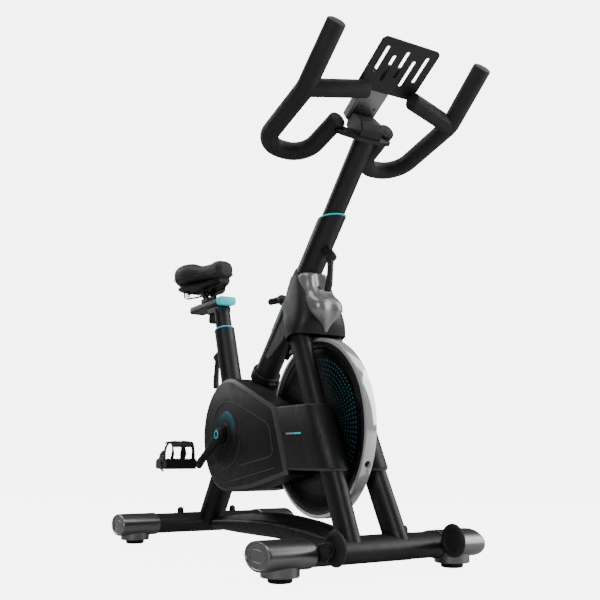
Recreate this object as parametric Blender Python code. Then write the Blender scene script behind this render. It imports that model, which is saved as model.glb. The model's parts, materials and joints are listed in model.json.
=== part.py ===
"""Indoor spin bike, built from separate tubes, covers, wheels and controls.

Frame: +X is forward, +Y is the rider's left, +Z is up. The origin is on the floor
under the middle of the bike. All sizes are in metres.
"""
import math

import bmesh
import bpy
from mathutils import Matrix, Vector

# ---- driving dimensions -------------------------------------------------------------
GAP = 0.0004                       # air between touching pieces

FRONT_X, REAR_X = 0.439, -0.501    # axes of the two floor stabilisers
STABILISER_Z = 0.058
STABILISER_HALF = 0.305            # half the bike's track, over the end caps
TUBE_DEPTH, TUBE_HEIGHT = 0.0580, 0.0305   # half sizes of the oval floor tubes
CAP_WALL = 0.0030
CAP_INNER_END = 0.152

WHEEL_CENTRE = Vector((0.2135, 0.0, 0.348))    # flywheel axle
RIM_RADIUS, RIM_INNER, RIM_HALF = 0.236, 0.2105, 0.0157
AXLE_RADIUS = 0.010

CRANK_CENTRE = Vector((-0.161, 0.0, 0.334))
CRANK_LENGTH = 0.168
CRANK_ANGLE = math.radians(211)    # right arm: backwards and down
SPINDLE_RADIUS = 0.009
BELT_Y, BELT_WIDTH, BELT_THICK = -0.068, 0.014, 0.003
CRANK_PULLEY_RADIUS, WHEEL_PULLEY_RADIUS = 0.105, 0.030

MAIN_ANGLE = math.radians(47)      # the diagonal main tube, from the floor plane
MAIN_DIR = Vector((math.cos(MAIN_ANGLE), 0, math.sin(MAIN_ANGLE)))
MAIN_POINT = Vector((-0.092, 0, 0.511))
MAIN_RADIUS, MAIN_BORE, POST_RADIUS = 0.0352, 0.0300, 0.0280
MAIN_TOP_Z = 0.905

SEAT_DIR = Vector((-0.332, 0, 0.943)).normalized()
SEAT_POINT = Vector((-0.368, 0, 0.625))
SEAT_RADIUS, SEAT_BORE, SEAT_POST_RADIUS = 0.0335, 0.0290, 0.0268
SEAT_TOP_Z = 0.684

STRUT_FOOT, STRUT_HEAD = Vector((-0.520, 0, -0.005)), Vector((-0.245, 0, 0.388))
STRUT_RADIUS = 0.0345

LEG_FOOT = Vector((0.435, 0.067, 0.100))
LEG_HEAD = Vector((0.205, 0.052, 0.560))
LEG_DEPTH, LEG_WIDTH = 0.0340, 0.0240

COVER_RADIUS = 0.167
COVER_FACE = 0.098
COVER_WALL = 0.003

BAR_RADIUS = 0.0235
FOOT_Y = 0.246                     # middle of a levelling foot
ROLLER_X, ROLLER_Y, ROLLER_Z = 0.539, 0.166, 0.076    # middle of a transport wheel
PEDAL_Y = 0.195                    # middle of a pedal, from the bike's centre plane
TUBE_WALL = 0.003

SIDES = {"right": -1, "left": 1}
PLATE_Y = {-1: (-0.0865, -0.0810), 1: (0.040, 0.047)}    # axle plates, outside the belt

HOOD = [  # height, rear x, front x, half width
    (0.589, 0.150, 0.240, 0.083), (0.622, 0.126, 0.250, 0.080), (0.660, 0.104, 0.250, 0.072),
    (0.700, 0.098, 0.240, 0.062), (0.735, 0.103, 0.226, 0.053), (0.766, 0.112, 0.214, 0.045)]
BAR_POINTS = [(0.428, 0.077, 1.121), (0.280, 0.089, 1.070), (0.278, 0.220, 1.076),
              (0.512, 0.224, 1.137), (0.647, 0.222, 1.246)]
BAR_RADII = [0.060, 0.064, 0.060]
PLATE_LOW, PLATE_HIGH = Vector((0.522, 0, 1.171)), Vector((0.648, 0, 1.2475))
SLIDE_Z0, SLIDE_Z1 = 0.772, 0.798
SLIDE_REAR, SLIDE_FRONT = -0.628, -0.392
SLIDE_KNOB_X = -0.466


# ---- the tubes' axes, and the controls that sit on them ------------------------------
def main_at(z):
    """The point of the main tube's axis at a height."""
    return MAIN_POINT + MAIN_DIR * ((z - MAIN_POINT.z) / MAIN_DIR.z)


def seat_at(z):
    return SEAT_POINT + SEAT_DIR * ((z - SEAT_POINT.z) / SEAT_DIR.z)


def leg_at(z, side):
    """The point of a fork leg's axis at a height; side is -1 right, 1 left."""
    along = (z - LEG_FOOT.z) / (LEG_HEAD.z - LEG_FOOT.z)
    point = LEG_FOOT.lerp(LEG_HEAD, along)
    return Vector((point.x, point.y * side, point.z))


KNOB_DIR = Vector((-0.91, 0, 0.42)).normalized()     # points out of the tube, to the rider
KNOB_SEAT = main_at(0.692)
BRAKE_PIVOT = Vector((0.088, 0, 0.600))
MAST_LEVER_DIR = Vector((MAIN_DIR.z, 0, -MAIN_DIR.x))
MAST_LEVER_SEAT = main_at(0.848) + MAST_LEVER_DIR * MAIN_RADIUS
SEAT_LEVER_DIR = Vector((-SEAT_DIR.z, 0, SEAT_DIR.x))
SEAT_LEVER_SEAT = seat_at(0.625) + SEAT_LEVER_DIR * SEAT_RADIUS


# ---- materials ----------------------------------------------------------------------
def material(name, colour, metallic, roughness):
    made = bpy.data.materials.new(name)
    made.use_nodes = True
    shader = made.node_tree.nodes["Principled BSDF"]
    shader.inputs["Base Color"].default_value = (*colour, 1)
    shader.inputs["Metallic"].default_value = metallic
    shader.inputs["Roughness"].default_value = roughness
    return made


for old in list(bpy.data.objects):
    bpy.data.objects.remove(old, do_unlink=True)

BLACK_PAINT = material("black_paint", (0.018, 0.019, 0.020), 0.0, 0.42)
BLACK_PLASTIC = material("black_plastic", (0.014, 0.015, 0.016), 0.0, 0.50)
SATIN_SILVER = material("satin_silver", (0.42, 0.43, 0.44), 1.0, 0.30)
CHROME = material("chrome", (0.85, 0.85, 0.86), 1.0, 0.06)
STEEL = material("steel", (0.45, 0.45, 0.46), 1.0, 0.35)
TEAL = material("teal", (0.03, 0.45, 0.50), 0.0, 0.35)
RUBBER = material("rubber", (0.010, 0.010, 0.010), 0.0, 0.75)
LEATHER = material("leather", (0.020, 0.020, 0.021), 0.0, 0.55)


# ---- mesh helpers -------------------------------------------------------------------
def finish(name, bm, look, smooth=40):
    """Turn a bmesh into a named object with outward faces and its material."""
    bmesh.ops.recalc_face_normals(bm, faces=bm.faces)
    mesh = bpy.data.meshes.new(name)
    bm.to_mesh(mesh)
    bm.free()
    mesh.shade_smooth()
    mesh.set_sharp_from_angle(angle=math.radians(smooth))
    obj = bpy.data.objects.new(name, mesh)
    bpy.context.collection.objects.link(obj)
    mesh.materials.append(look)
    return obj


def loft(name, rings, look, closed=False):
    """Skin a row of rings; an open row gets a flat cap on each end."""
    bm = bmesh.new()
    rows = [[bm.verts.new(point) for point in ring] for ring in rings]
    pairs = list(zip(rows, rows[1:]))
    if closed:
        pairs.append((rows[-1], rows[0]))
    for low, high in pairs:
        count = len(low)
        for i in range(count):
            j = (i + 1) % count
            bm.faces.new((low[i], low[j], high[j], high[i]))
    if not closed:
        bm.faces.new(rows[0][::-1])
        bm.faces.new(rows[-1])
    return finish(name, bm, look)


def oval(centre, axis_a, axis_b, half_a, half_b, count=20, power=2.0):
    """A ring of points; power above 2 squares the oval up."""
    ring = []
    for i in range(count):
        turn = 2 * math.pi * (i + 0.5) / count
        ca, sa = math.cos(turn), math.sin(turn)
        a = math.copysign(abs(ca) ** (2 / power), ca) * half_a
        b = math.copysign(abs(sa) ** (2 / power), sa) * half_b
        ring.append(centre + axis_a * a + axis_b * b)
    return ring


def cross_axes(direction):
    """Two unit vectors across a direction: the first in the bike's side plane."""
    side = Vector((0, 1, 0))
    if abs(direction.normalized().dot(side)) > 0.95:
        return Vector((1, 0, 0)), Vector((0, 0, 1))
    across = side.cross(direction).normalized()
    return across, direction.cross(across).normalized()


def rod(name, start, end, radius, look, half_b=None, count=20, power=2.0):
    """A straight bar from start to end, round or oval."""
    axis_a, axis_b = cross_axes(end - start)
    half_b = half_b or radius
    rings = [oval(p, axis_a, axis_b, radius, half_b, count, power) for p in (start, end)]
    return loft(name, rings, look)


def turned(name, profile, centre, axis, look, count=24, closed=False):
    """Spin (radius, distance along the axis) points about an axis.

    An open profile starts and ends on its own flat caps; a closed one is a ring.
    """
    axis_a, axis_b = cross_axes(axis)
    rings = [oval(centre + axis * along, axis_a, axis_b, r, r, count) for r, along in profile]
    return loft(name, rings, look, closed)


def sweep(name, path, radius, look, count=12):
    """A round bar along a path, its rings carried along without twist."""
    rings = []
    axis_a, _ = cross_axes(path[1] - path[0])
    for i, point in enumerate(path):
        ahead = path[min(i + 1, len(path) - 1)] - path[max(i - 1, 0)]
        direction = ahead.normalized()
        axis_a = (axis_a - direction * axis_a.dot(direction)).normalized()
        rings.append(oval(point, axis_a, direction.cross(axis_a), radius, radius, count))
    return loft(name, rings, look)


def prism(name, outline, y0, y1, look):
    """Extrude a side-view outline of (x, z) points from y0 to y1."""
    return loft(name, [[Vector((x, y, z)) for x, z in outline] for y in (y0, y1)], look)


def block(name, low, high, look):
    x0, y0, z0 = low
    x1, y1, z1 = high
    return prism(name, [(x0, z0), (x1, z0), (x1, z1), (x0, z1)], y0, y1, look)


def combine(obj, others, operation):
    """Join or cut with other solids, which are used up."""
    for other in others:
        change = obj.modifiers.new(operation.lower(), "BOOLEAN")
        change.operation = operation
        change.object = other
    bpy.context.view_layer.update()
    evaluated = obj.evaluated_get(bpy.context.evaluated_depsgraph_get())
    mesh = bpy.data.meshes.new_from_object(evaluated)
    obj.modifiers.clear()
    obj.data = mesh
    mesh.set_sharp_from_angle(angle=math.radians(40))
    for other in others:
        bpy.data.objects.remove(other, do_unlink=True)
    return obj


def union(obj, *others):
    return combine(obj, others, "UNION")


def cut(obj, *others):
    return combine(obj, others, "DIFFERENCE")


def rounded(obj, width, segments=2):
    """Round off an object's sharp edges."""
    bevel = obj.modifiers.new("bevel", "BEVEL")
    bevel.width = width
    bevel.segments = segments
    bevel.limit_method = "ANGLE"
    bevel.angle_limit = math.radians(35)
    return obj


def smooth_path(points, radii, steps=8):
    """Corner points joined by straight runs, each corner turned on its own radius."""
    path = [points[0]]
    for before, corner, after, radius in zip(points, points[1:], points[2:], radii):
        back = (before - corner).normalized()
        ahead = (after - corner).normalized()
        half = back.angle(ahead) / 2
        reach = radius / math.tan(half)
        middle = corner + (back + ahead).normalized() * (radius / math.sin(half))
        first = corner + back * reach - middle
        last = corner + ahead * reach - middle
        sweep_angle = first.angle(last)
        for i in range(steps + 1):
            t = i / steps
            blend = math.sin((1 - t) * sweep_angle) * first + math.sin(t * sweep_angle) * last
            path.append(middle + blend / math.sin(sweep_angle))
    path.append(points[-1])
    return path


def inset(outline, distance):
    """Move every side of a convex, anticlockwise (x, z) outline inwards."""
    moved = []
    count = len(outline)
    for i in range(count):
        before, here, after = (Vector(outline[(i + k) % count]) for k in (-1, 0, 1))
        first = (here - before).normalized()
        second = (after - here).normalized()
        normal_a = Vector((-first.y, first.x))
        normal_b = Vector((-second.y, second.x))
        bisector = normal_a + normal_b
        moved.append(tuple(here + bisector * (distance * 2 / bisector.length_squared)))
    return moved


def main_solid(extra=0.0):
    return rod("cutter", main_at(0.30), main_at(1.05), MAIN_RADIUS + extra, BLACK_PAINT,
               count=24)


def seat_solid(extra=0.0):
    return rod("cutter", seat_at(0.30), seat_at(0.80), SEAT_RADIUS + extra, BLACK_PAINT)


def leg_solid(side, extra=0.0):
    return rod("cutter", leg_at(0.03, side), leg_at(0.80, side), LEG_DEPTH + extra,
               BLACK_PAINT, LEG_WIDTH + extra)


def strut_solid(extra=0.0):
    past = (STRUT_HEAD - STRUT_FOOT).normalized() * 0.05
    return rod("cutter", STRUT_FOOT - past, STRUT_HEAD + past, STRUT_RADIUS + extra, BLACK_PAINT)


def stabiliser_solid(x, extra=0.0):
    centre = Vector((x, 0, STABILISER_Z))
    reach = Vector((0, 0.33, 0))
    return rod("cutter", centre - reach, centre + reach, TUBE_DEPTH + extra, BLACK_PAINT,
               TUBE_HEIGHT + extra, 20)


# ---- frame tubes --------------------------------------------------------------------
def build_frame():
    tube = rod("main_tube", main_at(0.335), main_at(1.00), MAIN_RADIUS, BLACK_PAINT, count=24)
    bore = rod("cutter", main_at(0.30), main_at(1.05), MAIN_BORE, BLACK_PAINT, count=24)
    above = block("cutter", (-0.1, -0.1, MAIN_TOP_Z), (0.8, 0.1, 1.2), BLACK_PAINT)
    knob_hole = rod("cutter", KNOB_SEAT - KNOB_DIR * 0.060, KNOB_SEAT + KNOB_DIR * 0.060,
                    0.0062, BLACK_PAINT, count=10)
    lever_hole = rod("cutter", MAST_LEVER_SEAT - MAST_LEVER_DIR * 0.010,
                     MAST_LEVER_SEAT + MAST_LEVER_DIR * 0.02, 0.0055, BLACK_PAINT, count=10)
    cut(tube, bore, above, knob_hole, lever_hole)

    seat = rod("seat_tube", seat_at(0.335), seat_at(SEAT_TOP_Z), SEAT_RADIUS, BLACK_PAINT)
    seat_bore = rod("cutter", seat_at(0.30), seat_at(0.75), SEAT_BORE, BLACK_PAINT)
    seat_hole = rod("cutter", SEAT_LEVER_SEAT - SEAT_LEVER_DIR * 0.010,
                    SEAT_LEVER_SEAT + SEAT_LEVER_DIR * 0.02, 0.0055, BLACK_PAINT, count=10)
    cut(seat, seat_bore, seat_hole, main_solid(GAP))

    strut = rod("rear_strut", STRUT_FOOT, STRUT_HEAD, STRUT_RADIUS, BLACK_PAINT)
    gusset = prism("cutter", [(-0.400, 0.170), (-0.330, 0.170), (-0.245, 0.235),
                              (-0.245, 0.290), (-0.330, 0.290)], -0.010, 0.010, BLACK_PAINT)
    union(strut, gusset)
    cut(strut, strut_solid(-TUBE_WALL), main_solid(GAP), seat_solid(GAP), stabiliser_solid(REAR_X, GAP),
        block("cutter", (-0.9, -0.2, -0.2), (-0.1, 0.2, STABILISER_Z), BLACK_PAINT))

    for side_name, side in SIDES.items():
        leg = rod("fork_leg_" + side_name, leg_at(0.05, side), leg_at(0.665, side),
                  LEG_DEPTH, BLACK_PAINT, LEG_WIDTH)
        head_gusset = prism("cutter", [(0.126, 0.640), (0.175, 0.620), (0.165, 0.655),
                                       (0.150, 0.700), (0.110, 0.700), (0.117, 0.670)],
                            0.0235 * side, 0.0300 * side, BLACK_PAINT)
        plate = prism("cutter", [(0.192, 0.322), (0.300, 0.300), (0.300, 0.396), (0.192, 0.374)],
                      PLATE_Y[side][0], PLATE_Y[side][1], BLACK_PAINT)
        cut(leg, leg_solid(side, -TUBE_WALL))
        union(leg, plate, head_gusset)
        hole = turned("cutter", [(AXLE_RADIUS + GAP, -0.10), (AXLE_RADIUS + GAP, 0.10)],
                      WHEEL_CENTRE, Vector((0, 1, 0)), BLACK_PAINT, 16)
        cut(leg, hole, main_solid(GAP), stabiliser_solid(FRONT_X, GAP))

    for end, x in (("front", FRONT_X), ("rear", REAR_X)):
        centre = Vector((x, 0, STABILISER_Z))
        reach = Vector((0, 0.262, 0))
        tube = rod(end + "_stabiliser", centre - reach, centre + reach, TUBE_DEPTH, BLACK_PAINT,
                   TUBE_HEIGHT, 20)
        cut(tube, stabiliser_solid(x, -TUBE_WALL))


RAIL = [  # x, half width, height of the middle, half height
    (-0.437, 0.020, 0.058, 0.013), (-0.360, 0.034, 0.063, 0.021), (-0.240, 0.047, 0.070, 0.028),
    (-0.100, 0.056, 0.077, 0.033), (0.050, 0.059, 0.080, 0.034), (0.200, 0.057, 0.074, 0.032),
    (0.300, 0.052, 0.066, 0.028), (0.376, 0.046, 0.060, 0.025)]


def build_base_rail():
    """The low arched spine between the stabilisers: narrow behind, wide in the middle."""
    rings = []
    for x, half_width, z, half_height in RAIL:
        ring = oval(Vector((x, 0, z)), Vector((0, 1, 0)), Vector((0, 0, 1)),
                    half_width, half_height, 20, 2.4)
        dip = half_height * 0.22
        rings.append([p - Vector((0, 0, dip * math.cos(p.y / half_width * math.pi / 2) ** 4))
                      if p.z > z else p for p in ring])
    hollow = []
    for x, half_width, z, half_height in RAIL[::2] + RAIL[-1:]:
        past = 0.01 if x > 0.35 else (-0.01 if x < -0.43 else 0.0)
        hollow.append(oval(Vector((x + past, 0, z - 0.002)), Vector((0, 1, 0)), Vector((0, 0, 1)),
                           half_width - 0.006, half_height * 0.72 - 0.003, 12, 2.2))
    cut(loft("base_rail", rings, BLACK_PAINT), loft("cutter", hollow, BLACK_PAINT),
        strut_solid(GAP), leg_solid(-1, GAP), leg_solid(1, GAP))


def build_feet():
    """Oval end caps with their round foot sockets, and the screw-in levelling feet."""
    down = Vector((0, 0, 1))
    for end, x in (("front", FRONT_X), ("rear", REAR_X)):
        for side_name, side in SIDES.items():
            label = f"{end}_{side_name}"
            rings = []
            for y, shrink in ((CAP_INNER_END, 0.0), (STABILISER_HALF - 0.006, 0.0),
                              (STABILISER_HALF - 0.002, 0.0025), (STABILISER_HALF, 0.008)):
                rings.append(oval(Vector((x, y * side, STABILISER_Z)), Vector((1, 0, 0)), down,
                                  TUBE_DEPTH + CAP_WALL - shrink,
                                  TUBE_HEIGHT + CAP_WALL - shrink, 20))
            cap = loft("end_cap_" + label, rings, SATIN_SILVER)
            foot = Vector((x, FOOT_Y * side, 0))
            socket = turned("cutter", [(0.0440, 0.012), (0.0440, STABILISER_Z)], foot, down,
                            SATIN_SILVER, 24)
            union(cap, socket)
            pocket = rod("cutter", Vector((x, 0, STABILISER_Z)),
                         Vector((x, 0.299 * side, STABILISER_Z)), TUBE_DEPTH + GAP,
                         SATIN_SILVER, TUBE_HEIGHT + GAP, 20)
            screw_hole = turned("cutter", [(0.0065, 0.0), (0.0065, 0.0245)], foot, down,
                                SATIN_SILVER, 10)
            cut(cap, pocket, screw_hole)
            turned("levelling_foot_" + label,
                   [(0.0255, 0.0), (0.0278, 0.002), (0.0278, 0.0116), (0.0060, 0.0116),
                    (0.0060, 0.0240)], foot, down, RUBBER, 20)


def build_transport_wheels():
    """Two tilting wheels ahead of the front stabiliser, each on a bracket with its pin."""
    base_x = FRONT_X + TUBE_DEPTH + CAP_WALL + GAP
    for side_name, side in SIDES.items():
        hub = Vector((ROLLER_X, ROLLER_Y * side, ROLLER_Z))
        out = Vector((0, side, 0))
        turned("transport_wheel_" + side_name,
               [(0.0046, -0.0075), (0.0355, -0.0075), (0.0390, -0.003),
                (0.0390, 0.003), (0.0355, 0.0075), (0.0046, 0.0075)],
               hub, out, RUBBER, 24, closed=True)
        bracket = prism("wheel_bracket_" + side_name,
                        [(base_x, 0.040), (0.520, 0.046), (0.550, 0.064), (0.554, 0.078),
                         (0.545, 0.090), (0.530, 0.090), (base_x, 0.076)],
                        (ROLLER_Y + 0.0085) * side, (ROLLER_Y + 0.0150) * side, BLACK_PAINT)
        pin = turned("cutter", [(0.0040, -0.0120), (0.0040, 0.0130)], hub, out, BLACK_PAINT, 10)
        head = turned("cutter", [(0.0075, -0.0125), (0.0075, -0.0085)], hub, out, BLACK_PAINT, 10)
        nut = turned("cutter", [(0.0090, 0.0140), (0.0090, 0.0200)], hub, out, BLACK_PAINT, 10)
        union(bracket, pin, head, nut)


# ---- covers -------------------------------------------------------------------------
def cover_outline():
    """Side view of the drive cover: an arc about the crank, drawn out to the front."""
    tail = [math.radians(70 + 200 * i / 13) for i in range(13 + 1)]
    arc = [(CRANK_CENTRE.x + COVER_RADIUS * math.cos(a), CRANK_CENTRE.z + COVER_RADIUS * math.sin(a))
           for a in tail]
    return arc + [(0.000, 0.183), (0.2042, 0.224), (0.130, 0.404)]


def rear_outline():
    """The part of the cover that may close on the centre plane, behind the flywheel."""
    front_x = -0.045
    kept = [p for p in cover_outline() if p[0] < front_x]
    return kept + [(front_x, 0.178), (front_x, 0.460)]


def shell_half(name, side, face, look):
    """One half of the drive cover: a hollow tray, open to the middle of the bike."""
    flank = 0.030
    outline = cover_outline()
    shell = prism(name, outline, face * side, flank * side, look)
    rounded(shell, 0.006, 2)
    union(shell, prism("cutter", rear_outline(), (flank + 0.002) * side, GAP * side, look))
    hollow = prism("cutter", inset(outline, COVER_WALL), (face - COVER_WALL) * side,
                   (flank - 0.01) * side, look)
    rear_hollow = prism("cutter", inset(rear_outline(), COVER_WALL), 0.05 * side, -0.01 * side,
                        look)
    hub_hole = turned("cutter", [(0.0225, 0.02), (0.0225, 0.2)], CRANK_CENTRE,
                      Vector((0, side, 0)), look, 24)
    cut(shell, hollow, rear_hollow, hub_hole, main_solid(0.001), seat_solid(0.001),
        strut_solid(0.001), block("cutter", (-0.420, -0.011, 0.150), (-0.200, 0.011, 0.300), look))
    return shell


def belt_window():
    """The way through for the belt, from the drive cover into the cover over the axle."""
    return block("cutter", (0.110, -0.086, 0.290), (0.255, -0.050, 0.3985), BLACK_PLASTIC)


def leg_box_rings(side, shrink, low, high):
    """Rings of the cover that runs forward from the drive cover round a fork leg.

    The right one is a cover of its own; the left one runs into the drive cover.
    """
    rings = []
    for z in (low, high):
        back = 0.130 + (0.404 - z) * 0.412 + (0.0006 if side < 0 else -0.0016)
        leg = leg_at(z, side)
        outline = [(back + shrink, 0.034), (back + shrink, 0.0975 - shrink),
                   (leg.x - 0.030, 0.0965 - shrink)]
        for turn in range(70, -31, -20):
            a = math.radians(turn)
            outline.append((leg.x + (0.045 - shrink) * math.cos(a),
                            0.058 + (0.0395 - shrink) * math.sin(a)))
        outline.append((leg.x + 0.030, 0.034))
        rings.append([Vector((x, y * side, z)) for x, y in outline])
    return rings


def leg_box(name, side, look):
    box = loft(name, leg_box_rings(side, 0.0, 0.236, 0.402), look)
    inner = leg_box_rings(side, COVER_WALL, 0.239, 0.399)
    for ring in inner:
        for point in ring:
            if abs(point.y) < 0.0365:
                point.y = 0.020 * side
    cut(box, loft("cutter", inner, look), leg_solid(side, 0.001))
    return box


def build_covers():
    cut(shell_half("drive_cover_right", -1, COVER_FACE, BLACK_PLASTIC), belt_window())
    cut(leg_box("axle_cover_right", -1, BLACK_PLASTIC), belt_window())
    union(shell_half("drive_cover_left", 1, 0.080, BLACK_PLASTIC),
          leg_box("cutter", 1, BLACK_PLASTIC))

    collar_middle = main_at(0.508)
    collar = turned("tube_collar", [(MAIN_RADIUS + GAP, -0.016), (0.0425, -0.016),
                                    (0.0435, -0.012), (0.0435, 0.012), (0.0425, 0.016),
                                    (MAIN_RADIUS + GAP, 0.016)],
                    collar_middle, MAIN_DIR, BLACK_PLASTIC, 24, closed=True)
    collar_room = shell_room()
    cut(collar, collar_room)


def shell_room():
    """The space that the drive cover takes, a little over its real size."""
    grown = inset(cover_outline(), -GAP)
    return prism("cutter", grown, -COVER_FACE - GAP, 0.080 + GAP, BLACK_PLASTIC)


def hood_rings(extra, bottom=None):
    rings = []
    for z, rear, front, half in HOOD:
        middle = Vector(((rear + front) / 2, 0, z))
        rings.append(oval(middle, Vector((1, 0, 0)), Vector((0, 1, 0)),
                          (front - rear) / 2 + extra, half + extra, 24, 3.0))
    if bottom:
        first = rings[0]
        rings.insert(0, [Vector((p.x, p.y, bottom)) for p in first])
    return rings


def build_hood():
    """The head shroud over the tops of the legs, and the bright trim on its front."""
    hood = loft("head_shroud", hood_rings(0.0), BLACK_PLASTIC)
    inside = loft("cutter", hood_rings(-0.004, 0.50)[:-1], BLACK_PLASTIC)
    rod_hole = turned("cutter", [(0.0065, -0.10), (0.0065, 0.0)], KNOB_SEAT, KNOB_DIR,
                      BLACK_PLASTIC, 10)
    cut(hood, inside, main_solid(0.0006), leg_solid(-1, 0.0006), leg_solid(1, 0.0006), rod_hole)

    stations = [(0.600, 0.240, 0.012, 0.008), (0.622, 0.248, 0.018, 0.024),
                (0.642, 0.252, 0.026, 0.040), (0.662, 0.252, 0.029, 0.049),
                (0.680, 0.246, 0.029, 0.049), (0.700, 0.226, 0.028, 0.047),
                (0.726, 0.210, 0.027, 0.046), (0.745, 0.204, 0.026, 0.043),
                (0.760, 0.200, 0.022, 0.037)]
    rings = [oval(Vector((x, 0, z)), Vector((1, 0, 0)), Vector((0, 1, 0)), depth, half, 24)
             for z, x, depth, half in stations]
    trim = loft("head_trim", rings, SATIN_SILVER)
    cut(trim, loft("cutter", hood_rings(0.001, 0.56), SATIN_SILVER), main_solid(GAP))


# ---- flywheel, crank and belt -------------------------------------------------------
def build_flywheel():
    across = Vector((0, 1, 0))
    turned("flywheel_rim",
           [(RIM_INNER, -RIM_HALF), (RIM_RADIUS - 0.002, -RIM_HALF),
            (RIM_RADIUS, -RIM_HALF + 0.002), (RIM_RADIUS, RIM_HALF - 0.002),
            (RIM_RADIUS - 0.002, RIM_HALF), (RIM_INNER, RIM_HALF)],
           WHEEL_CENTRE, across, CHROME, 52, closed=True)
    bore = AXLE_RADIUS + GAP
    edge = RIM_INNER - GAP
    turned("flywheel_disc",
           [(bore, -0.022), (0.032, -0.022), (0.038, -0.008), (edge - 0.012, -0.006),
            (edge, -0.012), (edge, 0.012), (edge - 0.012, 0.006), (0.038, 0.008),
            (0.032, 0.022), (bore, 0.022)],
           WHEEL_CENTRE, across, BLACK_PAINT, 36, closed=True)
    half = BELT_WIDTH / 2
    lip = WHEEL_PULLEY_RADIUS + 0.003
    turned("flywheel_pulley",
           [(bore, BELT_Y - half - 0.003), (lip, BELT_Y - half - 0.003), (lip, BELT_Y - half - 0.001),
            (WHEEL_PULLEY_RADIUS, BELT_Y - half - 0.001), (WHEEL_PULLEY_RADIUS, BELT_Y + half + 0.001),
            (0.020, BELT_Y + half + 0.001), (0.020, -0.0225), (bore, -0.0225)],
           WHEEL_CENTRE, across, STEEL, 24, closed=True)
    turned("flywheel_axle", [(AXLE_RADIUS, -0.092), (AXLE_RADIUS, 0.066)], WHEEL_CENTRE, across,
           STEEL, 16)


def belt_line(offset, steps=20):
    """The loop a given distance outside both pulleys, as (x, z) points."""
    span = Vector((WHEEL_CENTRE.x - CRANK_CENTRE.x, WHEEL_CENTRE.z - CRANK_CENTRE.z))
    heading = math.atan2(span.y, span.x)
    wrap = math.acos((CRANK_PULLEY_RADIUS - WHEEL_PULLEY_RADIUS) / span.length)
    loop = []
    for i in range(steps + 1):
        a = heading + wrap + (2 * math.pi - 2 * wrap) * i / steps
        r = CRANK_PULLEY_RADIUS + offset
        loop.append((CRANK_CENTRE.x + r * math.cos(a), CRANK_CENTRE.z + r * math.sin(a)))
    for i in range(steps // 2 + 1):
        a = heading - wrap + 2 * wrap * i / (steps // 2)
        r = WHEEL_PULLEY_RADIUS + offset
        loop.append((WHEEL_CENTRE.x + r * math.cos(a), WHEEL_CENTRE.z + r * math.sin(a)))
    return loop


def build_crank():
    across = Vector((0, 1, 0))
    half = BELT_WIDTH / 2
    inner, outer = belt_line(0.0006), belt_line(0.0006 + BELT_THICK)
    rings = []
    for (xi, zi), (xo, zo) in zip(inner, outer):
        rings.append([Vector((xi, BELT_Y - half, zi)), Vector((xo, BELT_Y - half, zo)),
                      Vector((xo, BELT_Y + half, zo)), Vector((xi, BELT_Y + half, zi))])
    loft("drive_belt", rings, RUBBER, closed=True)

    bore = SPINDLE_RADIUS + GAP
    face = CRANK_PULLEY_RADIUS
    turned("crank_pulley",
           [(bore, BELT_Y - 0.012), (0.026, BELT_Y - 0.012), (0.028, BELT_Y - 0.004),
            (face - 0.010, BELT_Y - half - 0.001), (face, BELT_Y - half - 0.001),
            (face, BELT_Y + half + 0.001), (face - 0.010, BELT_Y + half + 0.001),
            (0.028, BELT_Y + 0.003), (0.026, BELT_Y + 0.018), (bore, BELT_Y + 0.018)],
           CRANK_CENTRE, across, STEEL, 28, closed=True)
    turned("crank_axle", [(SPINDLE_RADIUS, -0.1065), (SPINDLE_RADIUS, 0.1065)],
           CRANK_CENTRE, across, STEEL, 16)

    shell = turned("bottom_bracket", [(bore, -0.045), (0.0235, -0.045), (0.0235, 0.045),
                                      (bore, 0.045)],
                   CRANK_CENTRE, across, BLACK_PAINT, 20, closed=True)
    web = block("cutter", (-0.250, -0.012, 0.310), (-0.180, 0.012, 0.358), BLACK_PAINT)
    union(shell, web)
    cut(shell, main_solid(GAP), seat_solid(GAP), strut_solid(GAP))

    for side_name, side in SIDES.items():
        build_crank_arm(side_name, side)
        build_pedal(side_name, side)


def pedal_centre(side):
    angle = CRANK_ANGLE if side < 0 else CRANK_ANGLE + math.pi
    return Vector((CRANK_CENTRE.x + CRANK_LENGTH * math.cos(angle), PEDAL_Y * side,
                   CRANK_CENTRE.z + CRANK_LENGTH * math.sin(angle)))


def build_crank_arm(side_name, side):
    """A tapered arm with its hub cap, and the pedal spindle screwed into its end."""
    pedal = pedal_centre(side)
    hub = Vector((CRANK_CENTRE.x, 0, CRANK_CENTRE.z))
    tip = Vector((pedal.x, 0, pedal.z))
    run = (tip - hub).normalized()
    across = Vector((-run.z, 0, run.x))
    stations = [(-0.018, 0.010), (-0.012, 0.0155), (0.0, 0.0180), (0.030, 0.0155),
                (CRANK_LENGTH - 0.03, 0.0125), (CRANK_LENGTH, 0.0140),
                (CRANK_LENGTH + 0.009, 0.0115), (CRANK_LENGTH + 0.014, 0.005)]
    rings = []
    for along, half in stations:
        middle = hub + run * along + Vector((0, 0.117 * side, 0))
        rings.append(oval(middle, across, Vector((0, 1, 0)), half, 0.0075, 12, 3.2))
    arm = loft("crank_arm_" + side_name, rings, BLACK_PAINT)
    out = Vector((0, side, 0))
    boss = turned("cutter", [(0.0205, 0.1068), (0.0205, 0.1250), (0.0170, 0.1290)],
                  CRANK_CENTRE, out, BLACK_PAINT, 16)
    spindle = turned("cutter", [(0.0100, 0.110), (0.0100, 0.138), (0.0060, 0.1385),
                                (0.0060, 0.2400)], tip, out, STEEL, 10)
    union(arm, boss, spindle)


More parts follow.
